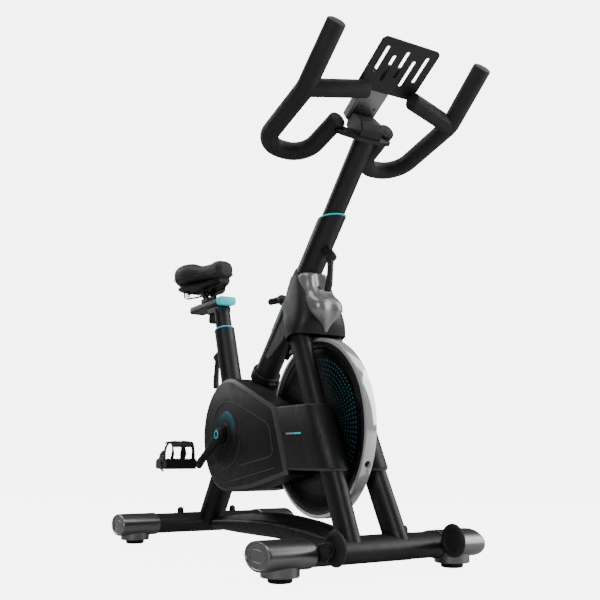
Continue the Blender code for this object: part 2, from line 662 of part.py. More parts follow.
def build_pedal(side_name, side):
    """A flat cage pedal on its spindle, with the toe cage at its front."""
    centre = pedal_centre(side)
    half_x, half_y, half_z = 0.045, 0.048, 0.0125
    outline = [(-half_x, -half_z), (half_x, -half_z), (half_x, half_z), (-half_x, half_z)]
    body = prism("pedal_" + side_name, [(centre.x + x, centre.z + z) for x, z in outline],
                 centre.y - half_y, centre.y + half_y, BLACK_PLASTIC)
    cutters = []
    for x0, x1 in ((-0.035, -0.013), (0.013, 0.035)):
        cutters.append(block("cutter", (centre.x + x0, centre.y - 0.038, centre.z - 0.03),
                             (centre.x + x1, centre.y + 0.038, centre.z + 0.03), BLACK_PLASTIC))
    cutters.append(turned("cutter", [(0.0064, -0.1), (0.0064, 0.1)], centre, Vector((0, 1, 0)),
                          BLACK_PLASTIC, 10))
    cut(body, *cutters)

    front = centre.x + half_x + GAP
    base = centre.z - half_z
    wall = 0.0035
    outer = [(front, base), (front + wall, base), (front + wall + 0.010, base + 0.045),
             (front + wall + 0.004, base + 0.072), (front - 0.020, base + 0.080),
             (front - 0.045, base + 0.076)]
    inner = [(front - 0.045, base + 0.0725), (front - 0.020, base + 0.0765),
             (front - 0.002, base + 0.0695), (front + 0.0055, base + 0.045)]
    cage = prism("toe_cage_" + side_name, outer + inner, centre.y - 0.042, centre.y + 0.042,
                 BLACK_PLASTIC)
    windows = []
    for y0, y1 in ((-0.034, -0.006), (0.006, 0.034)):
        windows.append(block("cutter", (front - 0.03, centre.y + y0, base + 0.030),
                             (front + 0.05, centre.y + y1, base + 0.066), BLACK_PLASTIC))
    cut(cage, *windows)


# ---- resistance control -------------------------------------------------------------


def build_brake():
    turned("brake_rod", [(0.0050, -0.072), (0.0050, 0.060)], KNOB_SEAT, KNOB_DIR, STEEL, 10)
    turned("resistance_knob",
           [(0.0110, 0.0560), (0.0105, 0.074), (0.0120, 0.092), (0.0180, 0.104), (0.0180, 0.116),
            (0.0150, 0.121)],
           KNOB_SEAT, KNOB_DIR, BLACK_PLASTIC, 16)
    knob = bpy.data.objects["resistance_knob"]
    cut(knob, turned("cutter", [(0.0056, -0.02), (0.0056, 0.0608)], KNOB_SEAT, KNOB_DIR,
                     BLACK_PLASTIC, 10))

    rings = []
    for turn in range(96, 122, 5):
        a = math.radians(turn)
        out = Vector((math.cos(a), 0, math.sin(a)))
        low = WHEEL_CENTRE + out * (RIM_RADIUS - 0.022)
        high = WHEEL_CENTRE + out * (RIM_RADIUS + 0.011)
        roof = WHEEL_CENTRE + out * (RIM_RADIUS + 0.004)
        wide, slim = Vector((0, 0.0235, 0)), Vector((0, 0.0180, 0))
        rings.append([low - wide, high - wide, high + wide, low + wide, low + slim,
                      roof + slim, roof - slim, low - slim])
    bracket = loft("brake_bracket", rings, STEEL)
    hinge_eye = turned("cutter", [(0.0070, -0.0200), (0.0070, 0.0200)], BRAKE_PIVOT,
                       Vector((0, 1, 0)), STEEL, 10)
    link = prism("cutter", [(0.083, 0.598), (0.0994, 0.5630), (0.1384, 0.5795), (0.096, 0.606)],
                 -0.010, 0.010, STEEL)
    union(bracket, hinge_eye, link)


# ---- handlebar and its post ---------------------------------------------------------
def build_handlebar():
    top = main_at(1.081)
    post = rod("mast_post", main_at(0.768), top, POST_RADIUS, BLACK_PAINT, count=24)
    cut(post, rod("cutter", main_at(0.70), main_at(1.12), POST_RADIUS - TUBE_WALL, BLACK_PAINT,
                  count=16))
    ring_rows = []
    for radius, z in ((POST_RADIUS + GAP, 0.0004), (MAIN_RADIUS + 0.0008, 0.0004),
                      (MAIN_RADIUS + 0.0008, 0.0032), (POST_RADIUS + GAP, 0.0032)):
        ring_rows.append((radius, MAIN_TOP_Z + z))
    axis_a, axis_b = cross_axes(MAIN_DIR)
    rings = []
    for radius, z in ring_rows:
        middle = main_at(z)
        ring = []
        for point in oval(middle, axis_a, axis_b, radius, radius, 24):
            drop = (z - point.z) / MAIN_DIR.z
            ring.append(point + MAIN_DIR * drop)
        rings.append(ring)
    loft("mast_ring", rings, TEAL, closed=True)

    bars = []
    for side_name, side in SIDES.items():
        bar = build_bar("handlebar_" + side_name, side, 0.0)
        cut(bar, bar_bore(side))
        bars.append(build_bar("cutter", side, GAP))

    across, _ = cross_axes(MAIN_DIR)
    middle = main_at(1.092)
    rings = []
    for y, back, ahead in ((-0.088, 0.050, 0.004), (-0.062, 0.052, 0.026), (-0.044, 0.030, 0.030),
                           (0.044, 0.030, 0.030), (0.062, 0.052, 0.026), (0.088, 0.050, 0.004)):
        centre = middle + Vector((0, y, 0))
        rings.append([centre - across * back - MAIN_DIR * 0.009,
                      centre + across * ahead - MAIN_DIR * 0.009,
                      centre + across * ahead + MAIN_DIR * 0.001,
                      centre - across * back + MAIN_DIR * 0.001])
    bracket = loft("handlebar_bracket", rings, BLACK_PAINT)
    post_end = rod("cutter", main_at(1.0), main_at(1.081 + GAP), POST_RADIUS + GAP, BLACK_PAINT,
                   count=24)
    cut(bracket, post_end, *bars)


def bar_bore(side):
    """The hollow of one bar's main tube, open at both of its ends."""
    points = [Vector((x, y * side, z)) for x, y, z in BAR_POINTS]
    points[0] += (points[0] - points[1]).normalized() * 0.01
    points[-1] += (points[-1] - points[-2]).normalized() * 0.01
    return sweep("cutter", smooth_path(points, BAR_RADII, 3), BAR_RADIUS - TUBE_WALL,
                 BLACK_PAINT, 8)


def build_bar(name, side, extra):
    """One side of the handlebar: a bent tube with a cross tube from its kink inwards."""
    points = [Vector((x, y * side, z)) for x, y, z in BAR_POINTS]
    points[0] += (points[0] - points[1]).normalized() * extra
    bar = sweep(name, smooth_path(points, BAR_RADII, 5), BAR_RADIUS + extra, BLACK_PAINT, 12)
    inner = Vector((0.550, 0.068 * side, 1.156))
    return union(bar, rod("cutter", points[3], inner, 0.0215 + extra, BLACK_PAINT, count=12))




def build_console():
    """The folded bracket over the post, and the slotted tablet plate on it."""
    along = (PLATE_HIGH - PLATE_LOW).normalized()
    normal = Vector((-along.z, 0, along.x))
    side = Vector((0, 1, 0))
    foot = main_at(1.092) + MAIN_DIR * (0.001 + GAP)
    head = PLATE_LOW + along * 0.016 - normal * (0.0002 + GAP)
    rings = []
    for base, half, lift in ((foot, 0.034, 0.0), (head, 0.036, 0.0)):
        back, thick = normal * 0.030, 0.003
        rings.append([base - side * half, base + side * half, base + side * half + back,
                      base + side * (half - thick) + back, base + side * (half - thick)
                      + normal * thick, base - side * (half - thick) + normal * thick,
                      base - side * (half - thick) + back, base - side * half + back])
    bracket = loft("console_bracket", rings, STEEL)
    above = loft("cutter", [[PLATE_LOW + side * y + along * a + normal * h
                             for a, h in ((-0.02, -GAP), (0.2, -GAP), (0.2, 0.2), (-0.02, 0.2))]
                            for y in (-0.2, 0.2)], STEEL)
    cut(bracket, above)

    length = (PLATE_HIGH - PLATE_LOW).length
    half_width, thick, corner = 0.087, 0.004, 0.014
    outline = []
    for cx, cy, start in ((half_width - corner, length - corner, 0),
                          (corner - half_width, length - corner, 90),
                          (corner - half_width, corner, 180), (half_width - corner, corner, 270)):
        for step in range(0, 91, 30):
            a = math.radians(start + step)
            outline.append((cx + corner * math.cos(a), cy + corner * math.sin(a)))
    plate = loft("tablet_plate", [[PLATE_LOW + side * y + along * a + normal * h
                                   for y, a in outline] for h in (0.0, thick)], BLACK_PAINT)
    slots = []
    for i in range(5):
        y = (i - 2) * 0.0300
        start = 0.049 if i % 2 == 0 else 0.030
        ends = (PLATE_LOW + side * y + along * start, PLATE_LOW + side * y + along * (start + 0.076))
        ring_low = [e + side * 0.0050 * s for e, s in ((ends[0], -1), (ends[0], 1),
                                                       (ends[1], 1), (ends[1], -1))]
        slots.append(loft("cutter", [[p - normal * 0.01 for p in ring_low],
                                     [p + normal * 0.02 for p in ring_low]], BLACK_PAINT))
    cut(plate, *slots)


# ---- clamp levers -------------------------------------------------------------------


def build_lever(name, seat, direction, stand_off, length):
    """A clamp lever: its screw goes into the tube, its handle hangs down."""
    lever = turned(name, [(0.0050, -0.0045), (0.0050, 0.0010), (0.0095, 0.0010),
                          (0.0095, stand_off + 0.006), (0.0070, stand_off + 0.009)],
                   seat, direction, BLACK_PLASTIC, 18)
    top = seat + direction * stand_off
    down = Vector((0, 0, -1))
    handle = []
    for along, half in ((0.0, 0.0062), (0.030, 0.0060), (length - 0.012, 0.0074), (length, 0.0058)):
        handle.append(oval(top + down * along, Vector((0, 1, 0)), Vector((1, 0, 0)), half,
                           half * 0.85, 12, 2.6))
    union(lever, loft("cutter", handle, BLACK_PLASTIC))


def build_levers():
    build_lever("mast_lever", MAST_LEVER_SEAT, MAST_LEVER_DIR, 0.044, 0.090)
    build_lever("seat_lever", SEAT_LEVER_SEAT, SEAT_LEVER_DIR, 0.026, 0.105)


# ---- seat ---------------------------------------------------------------------------


def build_seat():
    post = rod("seat_post", seat_at(0.520), seat_at(0.760), SEAT_POST_RADIUS, BLACK_PAINT)
    head = block("cutter", (-0.482, -0.024, 0.748), (-0.392, 0.024, SLIDE_Z0 - GAP), BLACK_PAINT)
    union(post, head)
    knob_axis = Vector((SLIDE_KNOB_X, 0, 0))
    cut(post, rod("cutter", seat_at(0.50), seat_at(0.735), SEAT_POST_RADIUS - TUBE_WALL,
                  BLACK_PAINT, count=12), turned("cutter", [(0.0052, 0.70), (0.0052, 0.80)], knob_axis, Vector((0, 0, 1)),
                     BLACK_PAINT, 10))
    seat_top = seat_at(SEAT_TOP_Z)
    turned("seat_ring", [(SEAT_POST_RADIUS + GAP, GAP), (SEAT_RADIUS + 0.0008, GAP),
                         (SEAT_RADIUS + 0.0008, 0.0032), (SEAT_POST_RADIUS + GAP, 0.0032)],
           seat_top, SEAT_DIR, TEAL, 24, closed=True)
    turned("slide_knob", [(0.0160, 0.7240), (0.0175, 0.7270), (0.0175, 0.7450), (0.0160, 0.7476),
                          (0.0048, 0.7476), (0.0048, 0.7700)], knob_axis, Vector((0, 0, 1)),
           BLACK_PLASTIC, 18)

    bar = prism("slide_rail", [(SLIDE_REAR, 0.776), (SLIDE_REAR + 0.010, SLIDE_Z0),
                               (SLIDE_FRONT, SLIDE_Z0), (SLIDE_FRONT, SLIDE_Z1),
                               (SLIDE_REAR + 0.006, SLIDE_Z1), (SLIDE_REAR, 0.792)],
                -0.030, 0.030, BLACK_PAINT)
    rounded(bar, 0.004, 1)
    cut(bar, block("cutter", (SLIDE_REAR + 0.012, -0.030 + TUBE_WALL, SLIDE_Z0 + TUBE_WALL),
                   (SLIDE_FRONT + 0.01, 0.030 - TUBE_WALL, SLIDE_Z1 - TUBE_WALL), BLACK_PAINT))
    tip = prism("slide_cap", [(SLIDE_FRONT + GAP, SLIDE_Z0), (SLIDE_FRONT + 0.020, SLIDE_Z0 + 0.003),
                              (SLIDE_FRONT + 0.024, SLIDE_Z0 + 0.010),
                              (SLIDE_FRONT + 0.016, SLIDE_Z1), (SLIDE_FRONT + GAP, SLIDE_Z1)],
                -0.031, 0.031, TEAL)
    rounded(tip, 0.003, 2)

    clamp = block("saddle_clamp", (-0.545, -0.022, SLIDE_Z1 + GAP), (-0.490, 0.022, 0.836),
                  BLACK_PAINT)
    rounded(clamp, 0.004, 2)

    build_saddle()


def build_saddle():
    """A broad padded saddle: two rear wings, a dip and a blunt nose, on a plastic pan."""
    # x, half width, lowest z, highest z of the pad
    stations = [(-0.662, 0.050, 0.884, 0.924), (-0.652, 0.074, 0.870, 0.940),
                (-0.625, 0.092, 0.864, 0.950), (-0.585, 0.095, 0.864, 0.950),
                (-0.545, 0.084, 0.868, 0.940), (-0.505, 0.064, 0.871, 0.931),
                (-0.465, 0.048, 0.870, 0.927), (-0.425, 0.039, 0.866, 0.924),
                (-0.400, 0.032, 0.866, 0.916), (-0.386, 0.020, 0.872, 0.902)]
    rings = []
    for x, half, low, high in stations:
        middle = Vector((x, 0, (low + high) / 2))
        rings.append(oval(middle, Vector((0, 1, 0)), Vector((0, 0, 1)), half, (high - low) / 2,
                          20, 2.6))
    loft("saddle_pad", rings, LEATHER)
    pan_stations = [(-0.640, 0.060, 0.850, 0.8635), (-0.600, 0.076, 0.848, 0.8635),
                    (-0.545, 0.066, 0.848, 0.8635), (-0.480, 0.042, 0.848, 0.8635),
                    (-0.405, 0.022, 0.850, 0.8635)]
    pan_rings = []
    for x, half, low, high in pan_stations:
        middle = Vector((x, 0, (low + high) / 2))
        pan_rings.append(oval(middle, Vector((0, 1, 0)), Vector((0, 0, 1)), half,
                              (high - low) / 2, 16, 3.5))
    pan = loft("saddle_base", pan_rings, BLACK_PLASTIC)
    parts = []
    for side in (-1, 1):
        y = 0.020 * side
        rail = [Vector((-0.412, y * 0.6, 0.853)), Vector((-0.440, y, 0.842)),
                Vector((-0.590, y, 0.842)), Vector((-0.625, y * 1.8, 0.852))]
        parts.append(sweep("cutter", smooth_path(rail, [0.02, 0.02], 3), 0.0038, STEEL, 8))
    union(pan, *parts)


def set_origin(names, point):
    """Put the origin of moving pieces on their joint's axis, without moving their shape."""
    for name in names:
        obj = bpy.data.objects[name]
        obj.data.transform(Matrix.Translation(-point))
        obj.location = point


def place_origins():
    feet = {"front": FRONT_X, "rear": REAR_X}
    set_origin(["flywheel_rim", "flywheel_disc", "flywheel_pulley"], WHEEL_CENTRE)
    set_origin(["crank_axle", "crank_pulley", "crank_arm_right", "crank_arm_left"], CRANK_CENTRE)
    set_origin(["mast_post", "handlebar_right", "handlebar_left", "handlebar_bracket",
                "console_bracket", "tablet_plate"], main_at(MAIN_TOP_Z))
    set_origin(["seat_post"], seat_at(SEAT_TOP_Z))
    set_origin(["slide_rail", "slide_cap", "saddle_clamp", "saddle_base", "saddle_pad"],
               Vector((SLIDE_KNOB_X, 0, SLIDE_Z0)))
    set_origin(["slide_knob"], Vector((SLIDE_KNOB_X, 0, 0.740)))
    set_origin(["mast_lever"], MAST_LEVER_SEAT)
    set_origin(["seat_lever"], SEAT_LEVER_SEAT)
    set_origin(["brake_rod", "resistance_knob"], KNOB_SEAT)
    set_origin(["brake_bracket"], BRAKE_PIVOT)
    for side_name, side in SIDES.items():
        set_origin(["pedal_" + side_name, "toe_cage_" + side_name], pedal_centre(side))
        set_origin(["transport_wheel_" + side_name],
                   Vector((ROLLER_X, ROLLER_Y * side, ROLLER_Z)))
        for end, x in feet.items():
            set_origin([f"levelling_foot_{end}_{side_name}"], Vector((x, FOOT_Y * side, 0)))


build_frame()
build_base_rail()
build_feet()
build_transport_wheels()
build_covers()
build_hood()
build_flywheel()
build_crank()
build_brake()
build_handlebar()
build_console()
build_levers()
build_seat()
place_origins()
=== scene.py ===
"""The look of an indoor spin bike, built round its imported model.

+X is forward, +Y the rider's left, +Z up, in metres. Each piece rides on a body of the frame.
"""

import json
import math

import bmesh
import bpy
from mathutils import Matrix, Vector


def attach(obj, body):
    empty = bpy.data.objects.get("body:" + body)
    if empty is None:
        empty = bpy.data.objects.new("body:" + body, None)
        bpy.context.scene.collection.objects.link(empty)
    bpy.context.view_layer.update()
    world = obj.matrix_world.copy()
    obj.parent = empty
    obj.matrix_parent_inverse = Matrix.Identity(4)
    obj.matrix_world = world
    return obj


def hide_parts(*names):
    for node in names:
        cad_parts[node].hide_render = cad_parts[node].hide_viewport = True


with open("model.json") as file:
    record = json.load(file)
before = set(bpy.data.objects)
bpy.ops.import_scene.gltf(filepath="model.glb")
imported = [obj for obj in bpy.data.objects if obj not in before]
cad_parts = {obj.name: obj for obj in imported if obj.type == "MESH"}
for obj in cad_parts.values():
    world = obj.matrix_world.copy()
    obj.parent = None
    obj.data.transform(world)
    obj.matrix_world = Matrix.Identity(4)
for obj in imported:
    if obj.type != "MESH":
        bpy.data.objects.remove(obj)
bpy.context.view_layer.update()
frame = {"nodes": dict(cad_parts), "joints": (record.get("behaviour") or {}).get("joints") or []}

# ---- places, from the frame -----------------------------------------------------------
JOINTS = {joint["name"]: joint for joint in frame["joints"]}


def place(joint):
    return Vector(JOINTS[joint]["pos_m"])


def heading(joint):
    return Vector(JOINTS[joint]["axis"]).normalized()


X, Y, Z = Vector((1, 0, 0)), Vector((0, 1, 0)), Vector((0, 0, 1))
SIDES = {"right": -1, "left": 1}
WHEEL, CRANK = place("flywheel_spin"), place("crank_spin")
MAST, SEAT = heading("handlebar_height"), heading("seat_height")
MAST_POINT, SEAT_POINT = place("mast_lever_turn"), place("seat_lever_turn")
MAST_ACROSS = heading("mast_lever_turn")      # out of the tube's lower, forward side
SEAT_ACROSS = heading("seat_lever_turn")      # out of the seat tube's rear
KNOB, KNOB_AXIS = place("resistance_turn"), heading("resistance_turn")

# ---- sizes ----------------------------------------------------------------------------
MAIN_RADIUS, MAIN_BORE, POST_RADIUS = 0.0352, 0.0300, 0.0280
SEAT_RADIUS, SEAT_BORE, SEAT_POST_RADIUS = 0.0335, 0.0290, 0.0268
MAIN_TOP, SEAT_TOP = 0.905, 0.684             # heights of the two sleeves' tops
RIM_RADIUS, RIM_INNER, RIM_HALF = 0.236, 0.2105, 0.0157
LEG_FOOT, LEG_HEAD = Vector((0.435, 0.067, 0.100)), Vector((0.205, 0.052, 0.560))
LEG_DEPTH, LEG_WIDTH = 0.0340, 0.0240
FLOOR_TUBE = {"front": 0.439, "rear": -0.501}
FLOOR_TUBE_Z, TUBE_DEPTH, TUBE_HEIGHT = 0.058, 0.0580, 0.0305
FOOT_REACH = 0.246                            # the levelling feet, from the bike's middle
COVER_RADIUS, COVER_FACE = 0.167, 0.098
SLIDE_Z = 0.785                               # the middle of the saddle's slide


def main_at(z):
    return MAST_POINT + MAST * ((z - MAST_POINT.z) / MAST.z)


def leg_at(z, side):
    point = LEG_FOOT.lerp(LEG_HEAD, (z - LEG_FOOT.z) / (LEG_HEAD.z - LEG_FOOT.z))
    return Vector((point.x, point.y * side, point.z))


# ---- materials ------------------------------------------------------------------------
def new_material(name, colour, roughness, metallic=0.0, **extra):
    made = bpy.data.materials.new(name)
    made.use_nodes = True
    shader = made.node_tree.nodes["Principled BSDF"]
    shader.inputs["Base Color"].default_value = (*colour, 1)
    shader.inputs["Roughness"].default_value = roughness
    shader.inputs["Metallic"].default_value = metallic
    for socket, value in extra.items():
        shader.inputs[socket.replace("_", " ")].default_value = value
    return made


class Nodes:
    """Adds and joins shader nodes of one material."""

    def __init__(self, made):
        self.tree = made.node_tree
        self.shader = self.tree.nodes["Principled BSDF"]

    def add(self, kind, **settings):
        node = self.tree.nodes.new(kind)
        for key, value in settings.items():
            setattr(node, key, value)
        return node

    def feed(self, socket, value):
        if isinstance(value, (int, float, tuple)):
            socket.default_value = value
        else:
            self.tree.links.new(value, socket)

    def math(self, operation, a, b=None, c=None, clamp=False):
        node = self.add("ShaderNodeMath", operation=operation, use_clamp=clamp)
        for socket, value in zip(node.inputs, (a, b, c)):
            if value is not None:
                self.feed(socket, value)
        return node.outputs[0]

    def place(self, scale=(1, 1, 1)):
        coordinates = self.add("ShaderNodeTexCoord").outputs["Object"]
        mapping = self.add("ShaderNodeMapping")
        mapping.inputs["Scale"].default_value = scale
        self.tree.links.new(coordinates, mapping.inputs["Vector"])
        return mapping.outputs["Vector"]

    def noise(self, scale, detail=2.0, stretch=(1, 1, 1)):
        node = self.add("ShaderNodeTexNoise")
        node.inputs["Scale"].default_value = scale
        node.inputs["Detail"].default_value = detail
        self.tree.links.new(self.place(stretch), node.inputs["Vector"])
        return node.outputs["Fac"]

    def cells(self, scale, feature="F1"):
        node = self.add("ShaderNodeTexVoronoi", feature=feature)
        node.inputs["Scale"].default_value = scale
        self.tree.links.new(self.place(), node.inputs["Vector"])
        return node.outputs["Distance"]

    def spread(self, value, low, high):
        """Maps 0.3 to 0.7, where a noise mostly lies, onto low to high."""
        node = self.add("ShaderNodeMapRange")
        node.inputs["From Min"].default_value = 0.3
        node.inputs["From Max"].default_value = 0.7
        node.inputs["To Min"].default_value = low
        node.inputs["To Max"].default_value = high
        self.tree.links.new(value, node.inputs["Value"])
        return node.outputs["Result"]

    def blend(self, factor, first, second):
        node = self.add("ShaderNodeMix", data_type="RGBA")
        self.feed(node.inputs["Factor"], factor)
        self.feed(node.inputs["A"], (*first, 1) if isinstance(first, tuple) else first)
        self.feed(node.inputs["B"], (*second, 1) if isinstance(second, tuple) else second)
        return node.outputs["Result"]

    def bump(self, height, distance, strength=1.0, under=None):
        node = self.add("ShaderNodeBump")
        node.inputs["Strength"].default_value = strength
        node.inputs["Distance"].default_value = distance
        self.tree.links.new(height, node.inputs["Height"])
        if under is not None:
            self.tree.links.new(under, node.inputs["Normal"])
        self.tree.links.new(node.outputs["Normal"], self.shader.inputs["Normal"])
        return node.outputs["Normal"]

    def colour(self, socket):
        self.tree.links.new(socket, self.shader.inputs["Base Color"])

    def roughness(self, socket):
        self.tree.links.new(socket, self.shader.inputs["Roughness"])


def textured(name, colour, roughness, metallic=0.0, grain=900.0, depth=0.00012, mottle=0.12,
             stretch=(1, 1, 1), **extra):
    """A surface with a fine grain, soft colour mottling and uneven gloss."""
    made = new_material(name, colour, roughness, metallic, **extra)
    nodes = Nodes(made)
    broad = nodes.noise(9.0, 4.0)
    dark = tuple(c * (1 - mottle) for c in colour)
    light = tuple(min(1.0, c * (1 + mottle)) for c in colour)
    nodes.colour(nodes.blend(nodes.spread(broad, 0.0, 1.0), dark, light))
    nodes.roughness(nodes.spread(nodes.noise(38.0, 5.0, stretch), roughness * 0.88, roughness * 1.12))
    nodes.bump(nodes.noise(grain, 2.0, stretch), depth)
    return made


def leather_material():
    made = new_material("saddle_leather", (0.016, 0.016, 0.017), 0.52)
    nodes = Nodes(made)
    grain = nodes.cells(620.0, "DISTANCE_TO_EDGE")
    crease = nodes.add("ShaderNodeMapRange")
    crease.inputs["From Max"].default_value = 0.12
    nodes.tree.links.new(grain, crease.inputs["Value"])
    crease_depth_and_shade = crease.outputs["Result"]
    # the grain's creases are painted darker than its tops: painted shade in the creases
    nodes.colour(nodes.blend(crease_depth_and_shade, (0.014, 0.014, 0.015), (0.036, 0.036, 0.037)))
    nodes.roughness(nodes.spread(nodes.noise(30.0, 4.0), 0.46, 0.60))
    fine = nodes.bump(nodes.noise(1500.0, 2.0), 0.00008)
    nodes.bump(crease_depth_and_shade, 0.00020, under=fine)
    return made


def chrome_material():
    """Polished steel with the faint lines of its last turning."""
    made = new_material("rim_chrome", (0.92, 0.92, 0.93), 0.09, 0.50)
    nodes = Nodes(made)
    nodes.roughness(nodes.spread(nodes.noise(60.0, 4.0, (1, 14, 1)), 0.06, 0.13))
    nodes.bump(nodes.noise(220.0, 2.0, (0.1, 8, 0.1)), 0.00002)
    return made


def polar(nodes, centre):
    """The distance from an axis that runs across the bike, and the turn round it."""
    split = nodes.add("ShaderNodeSeparateXYZ")
    nodes.tree.links.new(nodes.add("ShaderNodeTexCoord").outputs["Object"], split.inputs[0])
    ahead = nodes.math("SUBTRACT", split.outputs["X"], centre.x)
    upward = nodes.math("SUBTRACT", split.outputs["Z"], centre.z)
    squares = nodes.math("ADD", nodes.math("MULTIPLY", ahead, ahead),
                         nodes.math("MULTIPLY", upward, upward))
    return nodes.math("SQRT", squares), nodes.math("ARCTAN2", upward, ahead)


def turned_material():
    """The flywheel's machined side ring, with fine turning lines."""
    made = new_material("rim_side", (0.16, 0.165, 0.17), 0.24, 0.9)
    nodes = Nodes(made)
    radius = polar(nodes, WHEEL)[0]
    lines = nodes.math("SINE", nodes.math("MULTIPLY", radius, 9000.0))
    nodes.bump(lines, 0.00002)
    nodes.roughness(nodes.spread(nodes.noise(45.0, 4.0), 0.20, 0.30))
    return made


DOT_INNER, DOT_OUTER, DOT_PITCH, DOTS_ROUND = 0.066, 0.184, 0.0118, 90


def disc_material():
    """Gloss black with rings of printed dots that fade towards the hub and round the disc."""
    made = new_material("disc_black", (0.006, 0.006, 0.007), 0.22)
    nodes = Nodes(made)
    radius, turn = polar(nodes, WHEEL)
    rings = nodes.math("DIVIDE", nodes.math("SUBTRACT", radius, DOT_INNER), DOT_PITCH)
    off_ring = nodes.math("MULTIPLY", nodes.math("SUBTRACT", nodes.math("FRACT", rings), 0.5),
                          DOT_PITCH)
    slots = nodes.math("MULTIPLY", turn, DOTS_ROUND / (2 * math.pi))
    pace = nodes.math("MULTIPLY", radius, 2 * math.pi / DOTS_ROUND)
    off_slot = nodes.math("MULTIPLY", nodes.math("SUBTRACT", nodes.math("FRACT", slots), 0.5), pace)
    away = nodes.math("SQRT", nodes.math("ADD", nodes.math("MULTIPLY", off_ring, off_ring),
                                         nodes.math("MULTIPLY", off_slot, off_slot)))
    outward = nodes.math("DIVIDE", nodes.math("SUBTRACT", radius, DOT_INNER), DOT_OUTER - DOT_INNER,
                         clamp=True)
    size = nodes.math("MULTIPLY_ADD", outward, 0.0020, 0.0009)
    dot = nodes.math("LESS_THAN", away, size)
    inside = nodes.math("MULTIPLY", nodes.math("GREATER_THAN", radius, DOT_INNER),
                        nodes.math("LESS_THAN", radius, DOT_OUTER))
    facing = nodes.math("COSINE", nodes.math("SUBTRACT", turn, math.radians(40)))
    round_fade = nodes.math("POWER", nodes.math("MULTIPLY_ADD", facing, 0.5, 0.5), 2.4)
    strength = nodes.math("MULTIPLY", nodes.math("MULTIPLY", dot, inside),
                          nodes.math("MULTIPLY", round_fade, nodes.math("POWER", outward, 0.7)))
    nodes.colour(nodes.blend(strength, (0.006, 0.006, 0.007), (0.030, 0.22, 0.27)))
    nodes.roughness(nodes.spread(nodes.noise(25.0, 3.0), 0.17, 0.30))
    nodes.bump(nodes.noise(700.0, 2.0), 0.00003)
    return made


def crescent_material():
    """The disc round the crank: black, with a blue-green glow at its top that fades in dots."""
    made = new_material("crank_disc", (0.010, 0.010, 0.011), 0.45)
    nodes = Nodes(made)
    radius, turn = polar(nodes, CRANK)
    rim = nodes.math("DIVIDE", nodes.math("SUBTRACT", radius, 0.036), 0.030, clamp=True)
    facing = nodes.math("COSINE", nodes.math("SUBTRACT", turn, math.radians(75)))
    glow = nodes.math("MULTIPLY", rim, nodes.math("POWER", nodes.math("MAXIMUM", facing, 0.0), 1.5))
    mesh_dots = nodes.cells(560.0)
    shade = nodes.math("MULTIPLY", glow, nodes.spread(mesh_dots, 1.0, 0.75), clamp=True)
    nodes.colour(nodes.blend(shade, (0.010, 0.010, 0.011), (0.030, 0.24, 0.28)))
    nodes.roughness(nodes.spread(nodes.noise(40.0, 3.0), 0.40, 0.52))
    nodes.bump(nodes.noise(900.0, 2.0), 0.00006)
    return made


def webbing_material():
    made = new_material("webbing", (0.012, 0.012, 0.013), 0.80, Sheen_Weight=0.3)
    nodes = Nodes(made)
    rows = nodes.math("SINE", nodes.math("MULTIPLY", nodes.noise(3.0, 0.0, (90, 90, 90)), 60.0))
    nodes.bump(rows, 0.00015)
    nodes.roughness(nodes.spread(nodes.noise(60.0, 3.0), 0.72, 0.88))
    return made


PAINT = textured("black_powder_coat", (0.0100, 0.0102, 0.0105), 0.46, grain=1100.0, depth=0.00010)
PLASTIC = textured("black_moulded_plastic", (0.0080, 0.0081, 0.0084), 0.50, grain=1500.0,
                   depth=0.00010)
GRIP = textured("grip_foam", (0.0130, 0.0145, 0.0142), 0.62, grain=1700.0, depth=0.00022)
# grey: the cheeks' own colour, and painted light where it stands for lit faces on the left cover and the leg
# boxes' ridges
GREY_PANEL_AND_PAINTED_LIGHT = textured("grey_panel_and_painted_light", (0.055, 0.056, 0.058), 0.50, grain=1400.0, depth=0.00010)
# a lighter grey for bevels, raised lines and end bands: painted highlight where edges catch the light
EDGE = textured("edge_painted_highlight", (0.085, 0.087, 0.090), 0.42, grain=1400.0, depth=0.00008)
GUNMETAL = textured("gunmetal", (0.26, 0.26, 0.265), 0.34, 1.0, 260.0, 0.00002, 0.06, (1, 0.05, 1))
SILVER = textured("trim_silver", (0.33, 0.33, 0.335), 0.30, 0.45, 1200.0, 0.00003, 0.05)
BRUSHED = textured("brushed_steel", (0.30, 0.30, 0.31), 0.38, 1.0, 500.0, 0.00004, 0.08, (1, 0.06, 1))
STEEL = textured("plain_steel", (0.33, 0.33, 0.34), 0.36, 1.0, 700.0, 0.00003, 0.10)
# turquoise with a painted glow: its emission makes these parts shine though none of them is a lamp
TEAL_PAINTED_GLOW = textured("turquoise_painted_glow", (0.030, 0.68, 0.72), 0.40, grain=1300.0, depth=0.00006, mottle=0.05,
                Emission_Color=(0.02, 0.62, 0.66, 1), Emission_Strength=0.35)
DARK_STEEL = textured("blackened_steel", (0.020, 0.020, 0.021), 0.36, 0.6, 700.0, 0.00003, 0.10)
RUBBER = textured("black_rubber", (0.0110, 0.0110, 0.0112), 0.72, grain=1200.0, depth=0.00020)
# near-black that stands in for shade: pieces of it are painted shade in holes and hollows
DARK = textured("shadow_black", (0.004, 0.004, 0.004), 0.80, grain=900.0, depth=0.00010)
LIGHT_MARK = textured("light_mark", (0.50, 0.50, 0.50), 0.50, grain=1500.0, depth=0.00002)
LEATHER, CHROME, TURNED = leather_material(), chrome_material(), turned_material()
DISC, CRESCENT, WEBBING = disc_material(), crescent_material(), webbing_material()


